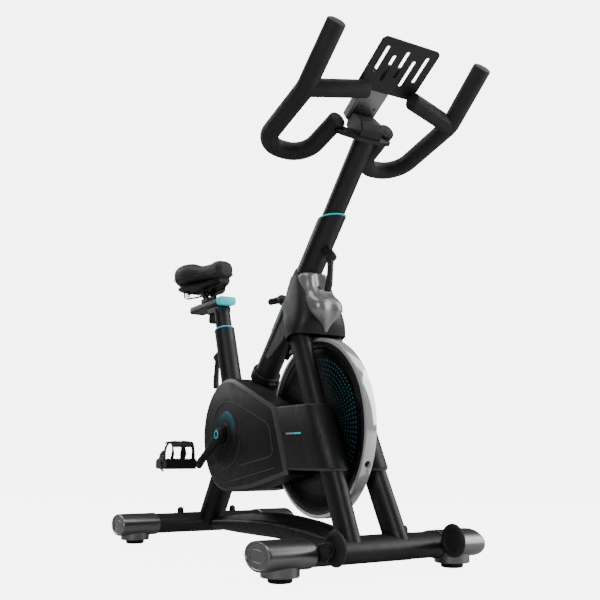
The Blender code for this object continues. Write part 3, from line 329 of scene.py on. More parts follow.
# ---- mesh helpers ---------------------------------------------------------------------
def solid(rows, closed=False):
    """A bmesh skinned over a row of rings; an open row is capped at each end."""
    bm = bmesh.new()
    rings = [[bm.verts.new(point) for point in row] for row in rows]
    pairs = list(zip(rings, rings[1:])) + ([(rings[-1], rings[0])] if closed else [])
    for low, high in pairs:
        for i in range(len(low)):
            j = (i + 1) % len(low)
            bm.faces.new((low[i], low[j], high[j], high[i]))
    if not closed:
        bm.faces.new(rings[0][::-1])
        bm.faces.new(rings[-1])
    bmesh.ops.recalc_face_normals(bm, faces=bm.faces)
    return bm


def mesh_object(name, bm, material, sharp=35):
    mesh = bpy.data.meshes.new(name)
    bm.to_mesh(mesh)
    bm.free()
    mesh.shade_smooth()
    mesh.set_sharp_from_angle(angle=math.radians(sharp))
    mesh.materials.append(material)
    made = bpy.data.objects.new(name, mesh)
    bpy.context.scene.collection.objects.link(made)
    return made


def show(piece, body, *nodes):
    """Put a finished piece on its body, in place of the CAD nodes that it stands for."""
    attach(piece, body)
    if nodes:
        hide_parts(*nodes)
    return piece


def ring(centre, a, b, half_a, half_b=None, count=64, power=2.0):
    half_b = half_a if half_b is None else half_b
    points = []
    for i in range(count):
        turn = 2 * math.pi * (i + 0.5) / count
        ca, sa = math.cos(turn), math.sin(turn)
        points.append(centre + a * (math.copysign(abs(ca) ** (2 / power), ca) * half_a)
                      + b * (math.copysign(abs(sa) ** (2 / power), sa) * half_b))
    return points


def across(direction):
    side = Y if abs(direction.dot(Y)) < 0.95 else X
    first = side.cross(direction).normalized()
    return first, direction.cross(first).normalized()


def lathe(name, profile, centre, axis, material, count=64, closed=False):
    """Spin (radius, distance along the axis) points about an axis."""
    a, b = across(axis)
    rows = [ring(centre + axis * along, a, b, max(radius, 0.0001), count=count)
            for radius, along in profile]
    return mesh_object(name, solid(rows, closed), material)


def rod(name, radius, low, high, centre, axis, material, count):
    """A plain round rod, mostly the shape of a hole."""
    profile = [(0.0001, low), (radius, low), (radius, high), (0.0001, high)]
    return lathe(name, profile, centre, axis, material, count)


def sweep(name, path, half_a, material, half_b=None, count=32, power=2.0, start=None):
    """A bar of oval section along a path; its rings don't twist."""
    half_b = half_a if half_b is None else half_b
    halves_a = half_a if isinstance(half_a, list) else [half_a] * len(path)
    halves_b = half_b if isinstance(half_b, list) else [half_b] * len(path)
    a = start or across((path[1] - path[0]).normalized())[0]
    rows = []
    for i, point in enumerate(path):
        way = (path[min(i + 1, len(path) - 1)] - path[max(i - 1, 0)]).normalized()
        a = (a - way * a.dot(way)).normalized()
        rows.append(ring(point, a, way.cross(a), halves_a[i], halves_b[i], count, power))
    return mesh_object(name, solid(rows), material)


def prism(name, outline, low, high, material, axis=Y):
    """A flat outline of points, pushed from low to high along an axis."""
    rows = [[point + axis * reach for point in outline] for reach in (low, high)]
    return mesh_object(name, solid(rows), material)


def in_side_view(points):
    return [Vector((x, 0, z)) for x, z in points]


def block(name, low, high, material):
    outline = in_side_view([(low[0], low[2]), (high[0], low[2]), (high[0], high[2]),
                            (low[0], high[2])])
    return prism(name, outline, low[1], high[1], material)


def carve(piece, *cutters, operation="DIFFERENCE"):
    """Cut other solids out of a piece, or join them to it, and use them up."""
    for cutter in cutters:
        change = piece.modifiers.new("carve", "BOOLEAN")
        change.operation = operation
        change.object = cutter
    bpy.context.view_layer.update()
    graph = bpy.context.evaluated_depsgraph_get()
    mesh = bpy.data.meshes.new_from_object(piece.evaluated_get(graph))
    piece.modifiers.clear()
    piece.data = mesh
    mesh.set_sharp_from_angle(angle=math.radians(35))
    for cutter in cutters:
        bpy.data.objects.remove(cutter, do_unlink=True)
    return piece


def join(piece, *others):
    return carve(piece, *others, operation="UNION")


def soften(piece, width, segments=3):
    """Round a piece's sharp edges."""
    bevel = piece.modifiers.new("soft_edges", "BEVEL")
    bevel.width = width
    bevel.segments = segments
    bevel.limit_method = "ANGLE"
    bevel.angle_limit = math.radians(35)
    bevel.harden_normals = True
    return piece


def corners(points, radii, steps=12):
    """Straight runs between points, each inner corner turned on its own radius."""
    path = [points[0]]
    for before, corner, after, radius in zip(points, points[1:], points[2:], radii):
        back, ahead = (before - corner).normalized(), (after - corner).normalized()
        half = back.angle(ahead) / 2
        middle = corner + (back + ahead).normalized() * (radius / math.sin(half))
        first = corner + back * (radius / math.tan(half)) - middle
        last = corner + ahead * (radius / math.tan(half)) - middle
        arc = first.angle(last)
        for i in range(steps + 1):
            t = i / steps
            turned = math.sin((1 - t) * arc) * first + math.sin(t * arc) * last
            path.append(middle + turned / math.sin(arc))
    return path + [points[-1]]


def curve_through(rows, steps=6):
    """Smooth rows of numbers: a Catmull-Rom curve through them all."""
    out = []
    for i in range(len(rows) - 1):
        p0, p1, p2, p3 = (rows[max(i - 1, 0)], rows[i], rows[i + 1], rows[min(i + 2, len(rows) - 1)])
        for k in range(steps):
            t = k / steps
            out.append([0.5 * (2 * b + (c - a) * t + (2 * a - 5 * b + 4 * c - d) * t ** 2
                               + (3 * b - a - 3 * c + d) * t ** 3)
                        for a, b, c, d in zip(p0, p1, p2, p3)])
    return out + [list(rows[-1])]


def inset(outline, distance):
    """Move every side of a convex, anticlockwise (x, z) outline inwards."""
    moved = []
    for i in range(len(outline)):
        before, here, after = (Vector(outline[(i + k) % len(outline)]) for k in (-1, 0, 1))
        first, second = (here - before).normalized(), (after - here).normalized()
        bisector = Vector((-first.y - second.y, first.x + second.x))
        moved.append(tuple(here + bisector * (2 * distance / bisector.length_squared)))
    return moved


# ---- frame tubes ----------------------------------------------------------------------
def level_ring(z, radius, count=72):
    """The mast tube's section where a level plane at height z cuts it."""
    a, b = across(MAST)
    points = []
    for point in ring(main_at(z), a, b, radius, count=count):
        points.append(point + MAST * ((z - point.z) / MAST.z))
    return points


def build_sleeves():
    a, b = across(MAST)
    top = MAIN_TOP
    rows = [ring(main_at(0.42), a, b, MAIN_RADIUS, count=72),
            level_ring(top - 0.0016, MAIN_RADIUS), level_ring(top - 0.0005, MAIN_RADIUS - 0.0004),
            level_ring(top, MAIN_RADIUS - 0.0014), level_ring(top, MAIN_BORE + 0.0006),
            level_ring(top - 0.05, MAIN_BORE), ring(main_at(0.42), a, b, MAIN_BORE, count=72)]
    show(mesh_object("mast_sleeve", solid(rows, True), PAINT), "frame", "main_tube")
    rows = [level_ring(top + 0.0002, MAIN_RADIUS - 0.0004), level_ring(top + 0.0026, MAIN_RADIUS),
            level_ring(top + 0.0034, MAIN_RADIUS - 0.0008), level_ring(top + 0.0034, POST_RADIUS + 0.0006),
            level_ring(top + 0.0002, POST_RADIUS + 0.0006)]
    show(mesh_object("mast_sleeve_ring", solid(rows, True), TEAL_PAINTED_GLOW), "frame", "mast_ring")

    seat_top = (SEAT_TOP - SEAT_POINT.z) / SEAT.z
    tube = lathe("seat_sleeve", [(SEAT_RADIUS, -0.22), (SEAT_RADIUS, seat_top - 0.0012),
                                 (SEAT_RADIUS - 0.0012, seat_top), (SEAT_BORE, seat_top),
                                 (SEAT_BORE, -0.22)], SEAT_POINT, SEAT, PAINT, 72, True)
    show(tube, "frame", "seat_tube")
    band = lathe("seat_sleeve_ring",
                 [(SEAT_RADIUS - 0.0003, seat_top + 0.0003), (SEAT_RADIUS + 0.0006, seat_top + 0.0012),
                  (SEAT_RADIUS + 0.0006, seat_top + 0.0036), (SEAT_RADIUS - 0.0008, seat_top + 0.0046),
                  (SEAT_POST_RADIUS + 0.0005, seat_top + 0.0046),
                  (SEAT_POST_RADIUS + 0.0005, seat_top + 0.0003)], SEAT_POINT, SEAT, TEAL_PAINTED_GLOW, 72, True)
    show(band, "frame", "seat_ring")
    wrapped_mark("seat_tube_mark", SEAT_POINT, SEAT, SEAT_RADIUS, math.radians(-108), 0.0040,
                 -0.090, -0.018, LIGHT_MARK)


def wrapped_mark(name, point, axis, radius, turn, width, low, high, material):
    """A thin printed stripe that follows a round tube."""
    half = width / 2 / radius
    steps = 6
    rows = []
    for along in (low, low + 0.0006, high - 0.0006, high):
        squeeze = 0.75 if along in (low, high) else 1.0
        outer, inner = [], []
        for i in range(steps + 1):
            angle = turn + half * squeeze * (2 * i / steps - 1)
            out = X * math.cos(angle) + Y * math.sin(angle)
            out = (out - axis * out.dot(axis)).normalized()
            outer.append(point + axis * along + out * (radius + 0.0002))
            inner.append(point + axis * along + out * (radius - 0.0006))
        rows.append(outer + inner[::-1])
    show(mesh_object(name, solid(rows), material), "frame")


def build_strut():
    foot, head = Vector((-0.476, 0, 0.058)), Vector((-0.262, 0, 0.364))
    tube = sweep("rear_leg", [foot, head], 0.0355, PAINT, 0.0405, 72, 2.2, X)
    show(tube, "frame", "rear_strut")
    plate = prism("rear_gusset", in_side_view([(-0.398, 0.170), (-0.340, 0.172), (-0.327, 0.180),
                                               (-0.245, 0.238), (-0.245, 0.288), (-0.330, 0.288)]),
                  -0.0095, 0.0095, PAINT)
    show(soften(plate, 0.003), "frame")


def leg_section(centre, side, extra=0.0):
    """An oval, a little squared, across a fork leg; the crisp line at the leg's inner front edge is not part
    of it.
    """
    along = (LEG_HEAD - LEG_FOOT)
    way = Vector((along.x, along.y * side, along.z)).normalized()
    a = Y.cross(way).normalized()
    a = a if a.x > 0 else -a
    b = Vector((0, 1, 0))
    b = (b - way * b.dot(way)).normalized()
    points = []
    count = 64
    for i in range(count):
        turn = 2 * math.pi * (i + 0.5) / count
        ca, sa = math.cos(turn), math.sin(turn)
        u = math.copysign(abs(ca) ** 0.92, ca) * (LEG_DEPTH + extra)
        v = math.copysign(abs(sa) ** 0.92, sa) * (LEG_WIDTH + extra)
        points.append(centre + a * u + b * v)
    return points


def build_fork():
    for name, side in SIDES.items():
        rows = [leg_section(leg_at(z, side), side) for z in (0.062, 0.25, 0.45, 0.660)]
        show(mesh_object("fork_tube_" + name, solid(rows), PAINT), "frame", "fork_leg_" + name)
        crease = []
        for z in (0.088, 0.240):
            centre = leg_at(z, side)
            crease.append(centre + X * (LEG_DEPTH * 0.80) + Y * (LEG_WIDTH * 0.62))
        rib = sweep("fork_crease_" + name, crease, 0.0012, PAINT, count=12)
        show(rib, "frame")
        plate_y = (-0.0865, -0.0810) if side < 0 else (0.040, 0.047)
        plate = prism("dropout_" + name, in_side_view([(0.192, 0.322), (0.300, 0.300),
                                                       (0.300, 0.396), (0.192, 0.374)]),
                      *plate_y, PAINT)
        show(soften(plate, 0.001), "frame")
    axle = lathe("wheel_axle", [(0.0001, -0.0925), (0.0085, -0.0925), (0.0100, -0.0910),
                                (0.0100, 0.0645), (0.0085, 0.0660), (0.0001, 0.0660)],
                 WHEEL, Y, STEEL, 48)
    show(axle, "frame", "flywheel_axle")


def build_stabilisers():
    for end, x in FLOOR_TUBE.items():
        rows = [ring(Vector((x, y, FLOOR_TUBE_Z)), X, Z, TUBE_DEPTH, TUBE_HEIGHT, 80)
                for y in (-0.262, -0.1, 0.1, 0.262)]
        show(mesh_object(end + "_floor_tube", solid(rows), PAINT), "frame", end + "_stabiliser")
        for name, side in SIDES.items():
            y = (0.097 if end == "front" else 0.094) * side
            dome(f"{end}_bolt_cap_{name}", Vector((x, y, FLOOR_TUBE_Z + TUBE_HEIGHT - 0.002)))
    build_saddle_sleeve("rear_centre_sleeve", FLOOR_TUBE["rear"], 0.094, 0.050)
    build_saddle_sleeve("front_centre_sleeve", FLOOR_TUBE["front"], 0.120, 0.096)
    # a flat black oval on the front tube: painted shade in the opening of a slot
    slot = lathe("front_tube_slot_painted_shade", [(0.0001, 0), (0.0080, 0), (0.0090, 0.0006), (0.0080, 0.0012),
                                     (0.0001, 0.0012)],
                 Vector((FLOOR_TUBE["front"] + 0.030, 0.110, 0.0834)), Vector((0.46, 0, 0.89)).normalized(),
                 DARK, 32)
    slot.data.transform(Matrix.Translation(Vector((0, 0.110, 0))) @ Matrix.Diagonal((1, 2.0, 1, 1))
                        @ Matrix.Translation(Vector((0, -0.110, 0))))
    show(slot, "frame")


def dome(name, base):
    profile = [(0.0125, 0.0), (0.0125, 0.0024), (0.0102, 0.0034), (0.0102, 0.0120)]
    profile += [(0.0102 * math.cos(a), 0.0120 + 0.0092 * math.sin(a))
                for a in [math.radians(d) for d in range(15, 90, 15)]] + [(0.0001, 0.0212)]
    show(lathe(name, [(0.0001, 0.0)] + profile, base, Z, PLASTIC, 32), "frame")


def build_saddle_sleeve(name, x, top_reach, low_reach):
    """A thin sleeve over the middle of a floor tube, longer on top than in front."""
    outer, inner = TUBE_DEPTH + 0.0008, TUBE_DEPTH - 0.001
    rows = []
    for side, skin in ((-1, inner), (-1, outer - 0.0004), (-0.997, outer), (0.997, outer),
                       (1, outer - 0.0004), (1, inner)):
        grow = skin - TUBE_DEPTH
        points = []
        for point in ring(Vector((x, 0, FLOOR_TUBE_Z)), X, Z, TUBE_DEPTH + grow, TUBE_HEIGHT + grow, 96):
            up = (point.z - FLOOR_TUBE_Z) / TUBE_HEIGHT
            reach = low_reach + (top_reach - low_reach) * (0.5 + 0.5 * math.sin(up * math.pi / 2))
            points.append(point + Y * (reach * side))
        rows.append(points)
    show(mesh_object(name, solid(rows, True), PAINT), "frame")


def build_base_rail():
    """The arched spine: two long ridges with a valley between them."""
    stations = [(-0.442, 0.019, 0.058, 0.013), (-0.360, 0.034, 0.063, 0.021),
                (-0.240, 0.047, 0.070, 0.028), (-0.100, 0.056, 0.077, 0.033),
                (0.050, 0.059, 0.080, 0.034), (0.200, 0.057, 0.074, 0.032),
                (0.300, 0.052, 0.066, 0.028), (0.382, 0.046, 0.060, 0.025)]
    rows = []
    for x, half, z, height in curve_through(stations, 5):
        points = []
        count = 96
        for i in range(count):
            turn = 2 * math.pi * (i + 0.5) / count
            ca, sa = math.cos(turn), math.sin(turn)
            y = math.copysign(abs(ca) ** 0.80, ca)
            rise = math.copysign(abs(sa) ** 0.75, sa)
            if rise > 0:
                crest = 0.92 * math.exp(-(y / 0.40) ** 4) + 0.36 * math.exp(-((abs(y) - 0.78) / 0.22) ** 4)
                rise = min(rise, 0.06 + crest)
            points.append(Vector((x, y * half, z + rise * height)))
        rows.append(points)
    show(mesh_object("base_spine", solid(rows), PLASTIC), "frame", "base_rail")


# ---- feet and transport wheels --------------------------------------------------------
def build_feet():
    for end, x in FLOOR_TUBE.items():
        for name, side in SIDES.items():
            build_end_cap(end, name, x, side)
            foot = Vector((x, FOOT_REACH * side, 0))
            pad = lathe(f"foot_pad_{end}_{name}",
                        [(0.0001, 0), (0.0245, 0), (0.0262, 0.0006), (0.0275, 0.0024), (0.0280, 0.0060),
                         (0.0278, 0.0096), (0.0262, 0.0114), (0.0080, 0.0116), (0.0060, 0.0120),
                         (0.0060, 0.0236), (0.0001, 0.0240)], foot, Z, RUBBER, 64)
            show(pad, f"foot_{end}_{name}", f"levelling_foot_{end}_{name}")


def build_end_cap(end, name, x, side):
    wide, high = TUBE_DEPTH + 0.0030, TUBE_HEIGHT + 0.0030
    sections = [(0.1850, -0.0030), (0.1842, -0.0012), (0.1855, 0.0), (0.2980, 0.0),
                (0.3030, -0.0006), (0.3046, -0.0018), (0.3050, -0.0036), (0.3046, -0.0050),
                (0.3030, -0.0058), (0.3022, -0.0066)]
    rows = [ring(Vector((x, y * side, FLOOR_TUBE_Z)), X, Z, wide + grow, high + grow, 96)
            for y, grow in sections]
    cap = mesh_object(f"cap_{end}_{name}", solid(rows), GUNMETAL)
    show(cap, "frame", f"end_cap_{end}_{name}")
    face = Vector((x, 0.3024 * side, FLOOR_TUBE_Z))
    outline = [face + X * (math.cos(t) * 0.038) + Z * (math.sin(t) * 0.0135)
               for t in [2 * math.pi * i / 48 for i in range(48)]]
    rows = []
    for i, point in enumerate(outline):
        way = (outline[(i + 1) % 48] - outline[i - 1]).normalized()
        rows.append(ring(point, Y, way.cross(Y), 0.0010, count=8))
    show(mesh_object(f"cap_oval_{end}_{name}", solid(rows, True), GUNMETAL), "frame")
    foot = Vector((x, FOOT_REACH * side, 0))
    socket = lathe(f"foot_socket_{end}_{name}",
                   [(0.0080, 0.0150), (0.0300, 0.0135), (0.0425, 0.0120), (0.0440, 0.0132),
                    (0.0440, 0.0300), (0.0448, 0.0400), (0.0440, 0.0440), (0.0080, 0.0440)],
                   foot, Z, GUNMETAL, 80, True)
    show(socket, "frame")


def build_transport_wheels():
    for name, side in SIDES.items():
        hub = place(f"front_wheel_{name}_spin")
        out = Y * side
        tyre = [(0.0046, -0.0072), (0.0110, -0.0072), (0.0125, -0.0050), (0.0240, -0.0050),
                (0.0262, -0.0074)]
        tyre += [(0.0310 + 0.0080 * math.cos(a), 0.0075 * math.sin(a))
                 for a in [math.radians(d) for d in range(-80, 81, 16)]]
        tyre += [(0.0262, 0.0074), (0.0240, 0.0050), (0.0125, 0.0050), (0.0110, 0.0072),
                 (0.0046, 0.0072)]
        show(lathe("roller_" + name, tyre, hub, out, RUBBER, 72, True), f"front_wheel_{name}",
             "transport_wheel_" + name)
        base = FLOOR_TUBE["front"] + TUBE_DEPTH - 0.008
        bracket = prism("roller_bracket_" + name,
                        in_side_view([(base, 0.044), (0.520, 0.048), (0.546, 0.060), (0.554, 0.075),
                                      (0.547, 0.088), (0.532, 0.091), (base, 0.080)]),
                        (hub.y * side + 0.0085) * side, (hub.y * side + 0.0150) * side, PAINT)
        show(soften(bracket, 0.0012), "frame", "wheel_bracket_" + name)
        pin = [(0.0001, -0.0120), (0.0062, -0.0120), (0.0072, -0.0108), (0.0072, -0.0086),
               (0.0040, -0.0084), (0.0040, 0.0150), (0.0088, 0.0152), (0.0088, 0.0190),
               (0.0050, 0.0200), (0.0001, 0.0200)]
        show(lathe("roller_pin_" + name, pin, hub, out, PLASTIC, 32), "frame")


# ---- head shroud and its trim ---------------------------------------------------------
HOOD = [(0.589, 0.150, 0.240, 0.083), (0.622, 0.126, 0.250, 0.080), (0.660, 0.104, 0.246, 0.072),
        (0.700, 0.098, 0.228, 0.062), (0.735, 0.103, 0.207, 0.053), (0.766, 0.112, 0.192, 0.045)]


def hood_ring(z, rear, front, half, shrink=0.0):
    """A rounded section, swollen on each side where it lies over a leg of the fork."""
    middle, depth = (rear + front) / 2, (front - rear) / 2 - shrink
    points = []
    count = 96
    leg_x = leg_at(min(z, 0.665), 1).x
    for i in range(count):
        turn = 2 * math.pi * (i + 0.5) / count
        ca, sa = math.cos(turn), math.sin(turn)
        x = middle + math.copysign(abs(ca) ** 0.62, ca) * depth
        y = math.copysign(abs(sa) ** 0.62, sa) * (half - shrink)
        swell = 0.0045 * math.exp(-((x - leg_x + 0.004) / 0.026) ** 2)
        swell *= max(0.0, min(1.0, (0.690 - z) / 0.06))
        points.append(Vector((x, y + math.copysign(swell, sa) * (abs(sa) > 0.35), z)))
    return points


def build_hood():
    rows = curve_through(HOOD, 6)
    outer = [hood_ring(*row) for row in rows]
    # the lower edge drops to a point behind each leg and lifts a little over the leg itself
    for point in outer[0]:
        drop = 0.013 * math.exp(-((point.x - 0.166) / 0.020) ** 2)
        lift = 0.006 * math.exp(-((point.x - 0.222) / 0.022) ** 2)
        point.z += lift - drop
    top = rows[-1]
    outer += [hood_ring(top[0] + 0.0018, top[1] + 0.001, top[2] - 0.001, top[3] - 0.0015),
              hood_ring(top[0] + 0.0022, top[1] + 0.004, top[2] - 0.004, top[3] - 0.0050)]
    inner = [hood_ring(*row, shrink=0.0035) for row in reversed(rows)]
    for point, edge in zip(inner[-1], outer[0]):
        point.z = edge.z
    hood = mesh_object("hood", solid(outer + inner, True), PLASTIC)
    show(hood, "frame", "head_shroud")
    rows = [ring(main_at(0.7660) + MAST * reach, *across(MAST), radius, count=72)
            for radius, reach in ((0.0356, -0.012), (0.0400, -0.012), (0.0398, 0.004), (0.0385, 0.010),
                                  (0.0356, 0.011))]
    show(mesh_object("hood_collar", solid(rows, True), PLASTIC), "frame")


TRIM = [(0.768, 0.2080, 0.0410, 0.0090), (0.759, 0.2170, 0.0450, 0.0150), (0.742, 0.2240, 0.0480, 0.0180),
        (0.726, 0.2290, 0.0490, 0.0180), (0.711, 0.2365, 0.0490, 0.0120), (0.699, 0.2490, 0.0490, 0.0060),
        (0.688, 0.2640, 0.0500, 0.0040), (0.676, 0.2760, 0.0505, 0.0060), (0.662, 0.2810, 0.0495, 0.0090),
        (0.648, 0.2790, 0.0450, 0.0090), (0.634, 0.2710, 0.0350, 0.0060), (0.621, 0.2610, 0.0210, 0.0030),
        (0.609, 0.2545, 0.0110, 0.0010), (0.598, 0.2500, 0.0050, 0.0)]


def build_trim():
    """The bright nose: two lobes above, two cheeks below, a groove between them, a fin at its foot."""
    rows = []
    for z, front, half, groove in curve_through(TRIM, 5):
        deep = 0.050 if z > 0.67 else 0.050 - 0.026 * (0.67 - z) / 0.075
        back = front - deep
        points = []
        count = 88
        for i in range(count):
            turn = 2 * math.pi * (i + 0.5) / count
            ca, sa = math.cos(turn), math.sin(turn)
            y = math.copysign(abs(sa) ** 0.85, sa) * half
            if ca > 0:
                x = back + (abs(ca) ** 0.78) * (front - back)
                x -= groove * math.exp(-(y / (0.42 * max(half, 0.008))) ** 2)
            else:
                x = back - abs(ca) * 0.004
            points.append(Vector((x, y, z)))
        rows.append(points)
    show(mesh_object("nose_trim", solid(rows), SILVER), "frame", "head_trim")


# ---- mast, brake and levers -----------------------------------------------------------
def build_side_panel():
    """The grey cheek behind the hood, with its textured strip and a fine blue-green line."""
    for name, side in SIDES.items():
        outline = [(0.128, 0.712), (0.096, 0.688), (0.020, 0.611), (-0.034, 0.560), (-0.020, 0.548),
                   (0.060, 0.590), (0.128, 0.640)]
        panel = prism("neck_cheek_" + name, in_side_view(outline), side * 0.0290, side * 0.0345, GREY_PANEL_AND_PAINTED_LIGHT)
        show(soften(panel, 0.0018), "frame")
        line = [main_at(0.618) - MAST_ACROSS * 0.0190 + Y * side * 0.0300,
                main_at(0.690) - MAST_ACROSS * 0.0190 + Y * side * 0.0300]
        show(sweep("neck_line_" + name, line, 0.0009, TEAL_PAINTED_GLOW, count=16), "frame")


def build_collar():
    centre = main_at(0.508)
    profile = [(MAIN_RADIUS - 0.002, -0.0160), (0.0418, -0.0160), (0.0430, -0.0148), (0.0435, -0.0100),
               (0.0435, 0.0100), (0.0430, 0.0148), (0.0418, 0.0160), (MAIN_RADIUS - 0.002, 0.0160)]
    collar = lathe("collar", profile, centre, MAST, PLASTIC, 96, True)
    slot = block("slot", (-0.004, -0.060, 0.504), (0.004, -0.030, 0.512), PLASTIC)
    slot.data.transform(Matrix.Translation(Vector((centre.x, 0, 0))))
    show(carve(collar, slot), "frame", "tube_collar")
    latch = block("collar_latch", (0.0, -0.012, -0.010), (0.014, 0.012, 0.010), PLASTIC)
    way = Matrix((MAST_ACROSS, Y, MAST)).transposed().to_4x4()
    latch.data.transform(Matrix.Translation(centre + MAST_ACROSS * 0.041) @ way)
    show(soften(latch, 0.002), "frame")


def build_lever(name, body, node, pivot, out, handle, stand_off, lean):
    """A clamping lever: a round boss standing off the tube and a handle hanging from it."""
    profile = [(0.0001, -0.001), (0.0120, -0.001), (0.0120, 0.004), (0.0075, 0.006), (0.0075, 0.016),
               (0.0125, 0.018), (0.0140, 0.020), (0.0145, stand_off - 0.0110),
               (0.0138, stand_off - 0.0012), (0.0120, stand_off), (0.0001, stand_off + 0.0008)]
    boss = lathe(name + "_boss", profile, pivot, out, PLASTIC, 48)
    show(boss, body, node)
    start = pivot + out * (stand_off - 0.010)
    down = (-Z - X * lean).normalized()
    bend = start + out * 0.006 + down * 0.020
    path = [start - down * 0.004, start + down * 0.010, bend + down * 0.012, start + out * 0.010
            + down * (handle * 0.7), start + out * 0.008 + down * (handle - 0.006),
            start + out * 0.0075 + down * handle]
    wide = [0.0100, 0.0100, 0.0085, 0.0098, 0.0100, 0.0070]
    thick = [0.0070, 0.0072, 0.0062, 0.0066, 0.0062, 0.0040]
    rows = curve_through([[*p, w, t] for p, w, t in zip(path, wide, thick)], 6)
    grip = sweep(name + "_handle", [Vector(row[:3]) for row in rows], [row[3] for row in rows], PLASTIC,
                 [row[4] for row in rows], 32, 2.6, Y)
    show(grip, body)


def over_wheel(gap, degrees):
    """Points of an arc round the flywheel, a gap outside its rim."""
    turns = [math.radians(degree) for degree in degrees]
    radius = RIM_RADIUS + gap
    return [WHEEL + X * (radius * math.cos(turn)) + Z * (radius * math.sin(turn)) for turn in turns]


def build_brake():
    rod = lathe("brake_rod", [(0.0001, -0.072), (0.0042, -0.072), (0.0050, -0.071), (0.0050, 0.060),
                              (0.0001, 0.060)], KNOB, KNOB_AXIS, STEEL, 32)
    show(rod, "brake_push_rod", "brake_rod")
    # the knob: a ribbed stem out of the tube, then a horn that lies level and ends in a round face
    path = [(0.054, 0.0105), (0.060, 0.0140), (0.068, 0.0150), (0.080, 0.0150), (0.088, 0.0140),
            (0.0920, 0.0110)]
    knob = lathe("tension_knob", [(0.0001, 0.054)] + [(r, x) for x, r in path] + [(0.0001, 0.0930)],
                 KNOB, KNOB_AXIS, PLASTIC, 72)
    level = (-X * 0.86 - Y * 0.50 - Z * 0.10).normalized()
    reaches = (-0.0130, -0.0110, 0.0, 0.012, 0.024, 0.034, 0.0400, 0.0430, 0.0445)
    thick = [0.0060, 0.0100, 0.0125, 0.0110, 0.0098, 0.0100, 0.0098, 0.0078, 0.0040]
    line = [KNOB + KNOB_AXIS * 0.084 + level * reach for reach in reaches]
    horn = sweep("tension_horn", line, thick, PLASTIC, count=40)
    ribs = []
    a, b = across(KNOB_AXIS)
    for i in range(16):
        turn = 2 * math.pi * i / 16
        out = a * math.cos(turn) + b * math.sin(turn)
        ribs.append(sweep("rib", [KNOB + KNOB_AXIS * 0.0625 + out * 0.0150,
                                  KNOB + KNOB_AXIS * 0.0795 + out * 0.0150], 0.0010, PLASTIC,
                          count=10))
    merge(knob, ribs)
    show(knob, "brake_knob", "resistance_knob")
    show(horn, "brake_knob")
    plate = prism("brake_plate", over_wheel(0.0110, range(96, 122)) + over_wheel(0.0040, range(121, 95, -1)),
                  -0.0235, 0.0235, BRUSHED)
    show(soften(plate, 0.0012), "brake_shoe", "brake_bracket")
    pad = prism("brake_pad", over_wheel(0.0042, range(98, 120, 2)) + over_wheel(0.0012, range(118, 96, -2)),
                -0.0140, 0.0140, RUBBER)
    show(pad, "brake_shoe")
    tab = prism("brake_tab", in_side_view([(0.070, 0.570), (0.096, 0.572), (0.104, 0.596), (0.100, 0.608),
                                           (0.088, 0.613), (0.076, 0.608)]), -0.004, 0.004, BRUSHED)
    show(soften(tab, 0.001), "brake_shoe")


def merge(piece, others):
    """Put other pieces' meshes into one piece without cutting them."""
    bm = bmesh.new()
    bm.from_mesh(piece.data)
    for other in others:
        bm.from_mesh(other.data)
        bpy.data.objects.remove(other, do_unlink=True)
    bm.to_mesh(piece.data)
    bm.free()
    piece.data.set_sharp_from_angle(angle=math.radians(35))
    return piece


# ---- drive cover and the boxes round the legs -----------------------------------------
def cover_outline():
    arc = []
    for step in range(41):
        turn = math.radians(70 + 200 * step / 40)
        arc.append((CRANK.x + COVER_RADIUS * math.cos(turn), CRANK.z + COVER_RADIUS * math.sin(turn)))
    return arc + [(0.000, 0.183), (0.2042, 0.224), (0.130, 0.404)]


def layered(name, outline, steps, side, material):
    """A tray lying flat against the bike: (distance inside the outline, |y|) steps, outwards."""
    rows = []
    for distance, reach in steps:
        shape = inset(outline, distance) if distance else outline
        rows.append([Vector((x, reach * side, z)) for x, z in shape])
    return mesh_object(name, solid(rows), material, 25)


def arc_points(centre, radius, start, end, steps=24):
    points = []
    for i in range(steps + 1):
        turn = math.radians(start + (end - start) * i / steps)
        points.append((centre.x + radius * math.cos(turn), centre.z + radius * math.sin(turn)))
    return points


def raised_line(name, points, side, reach, width, material, closed=False):
    """A flat moulded line that stands a little proud of a side face."""
    left, right = [], []
    count = len(points)
    for i, (x, z) in enumerate(points):
        before = points[i - 1] if (closed or i) else points[i]
        after = points[(i + 1) % count] if (closed or i < count - 1) else points[i]
        way = Vector((after[0] - before[0], after[1] - before[1])).normalized()
        left.append((x - way.y * width / 2, z + way.x * width / 2))
        right.append((x + way.y * width / 2, z - way.x * width / 2))
    rows = []
    for (lx, lz), (rx, rz) in zip(left, right):
        rows.append([Vector((lx, (reach - 0.0010) * side, lz)), Vector((lx, (reach + 0.0008) * side, lz)),
                     Vector((rx, (reach + 0.0008) * side, rz)), Vector((rx, (reach - 0.0010) * side, rz))])
    return show(mesh_object(name, solid(rows, closed), material), "frame")


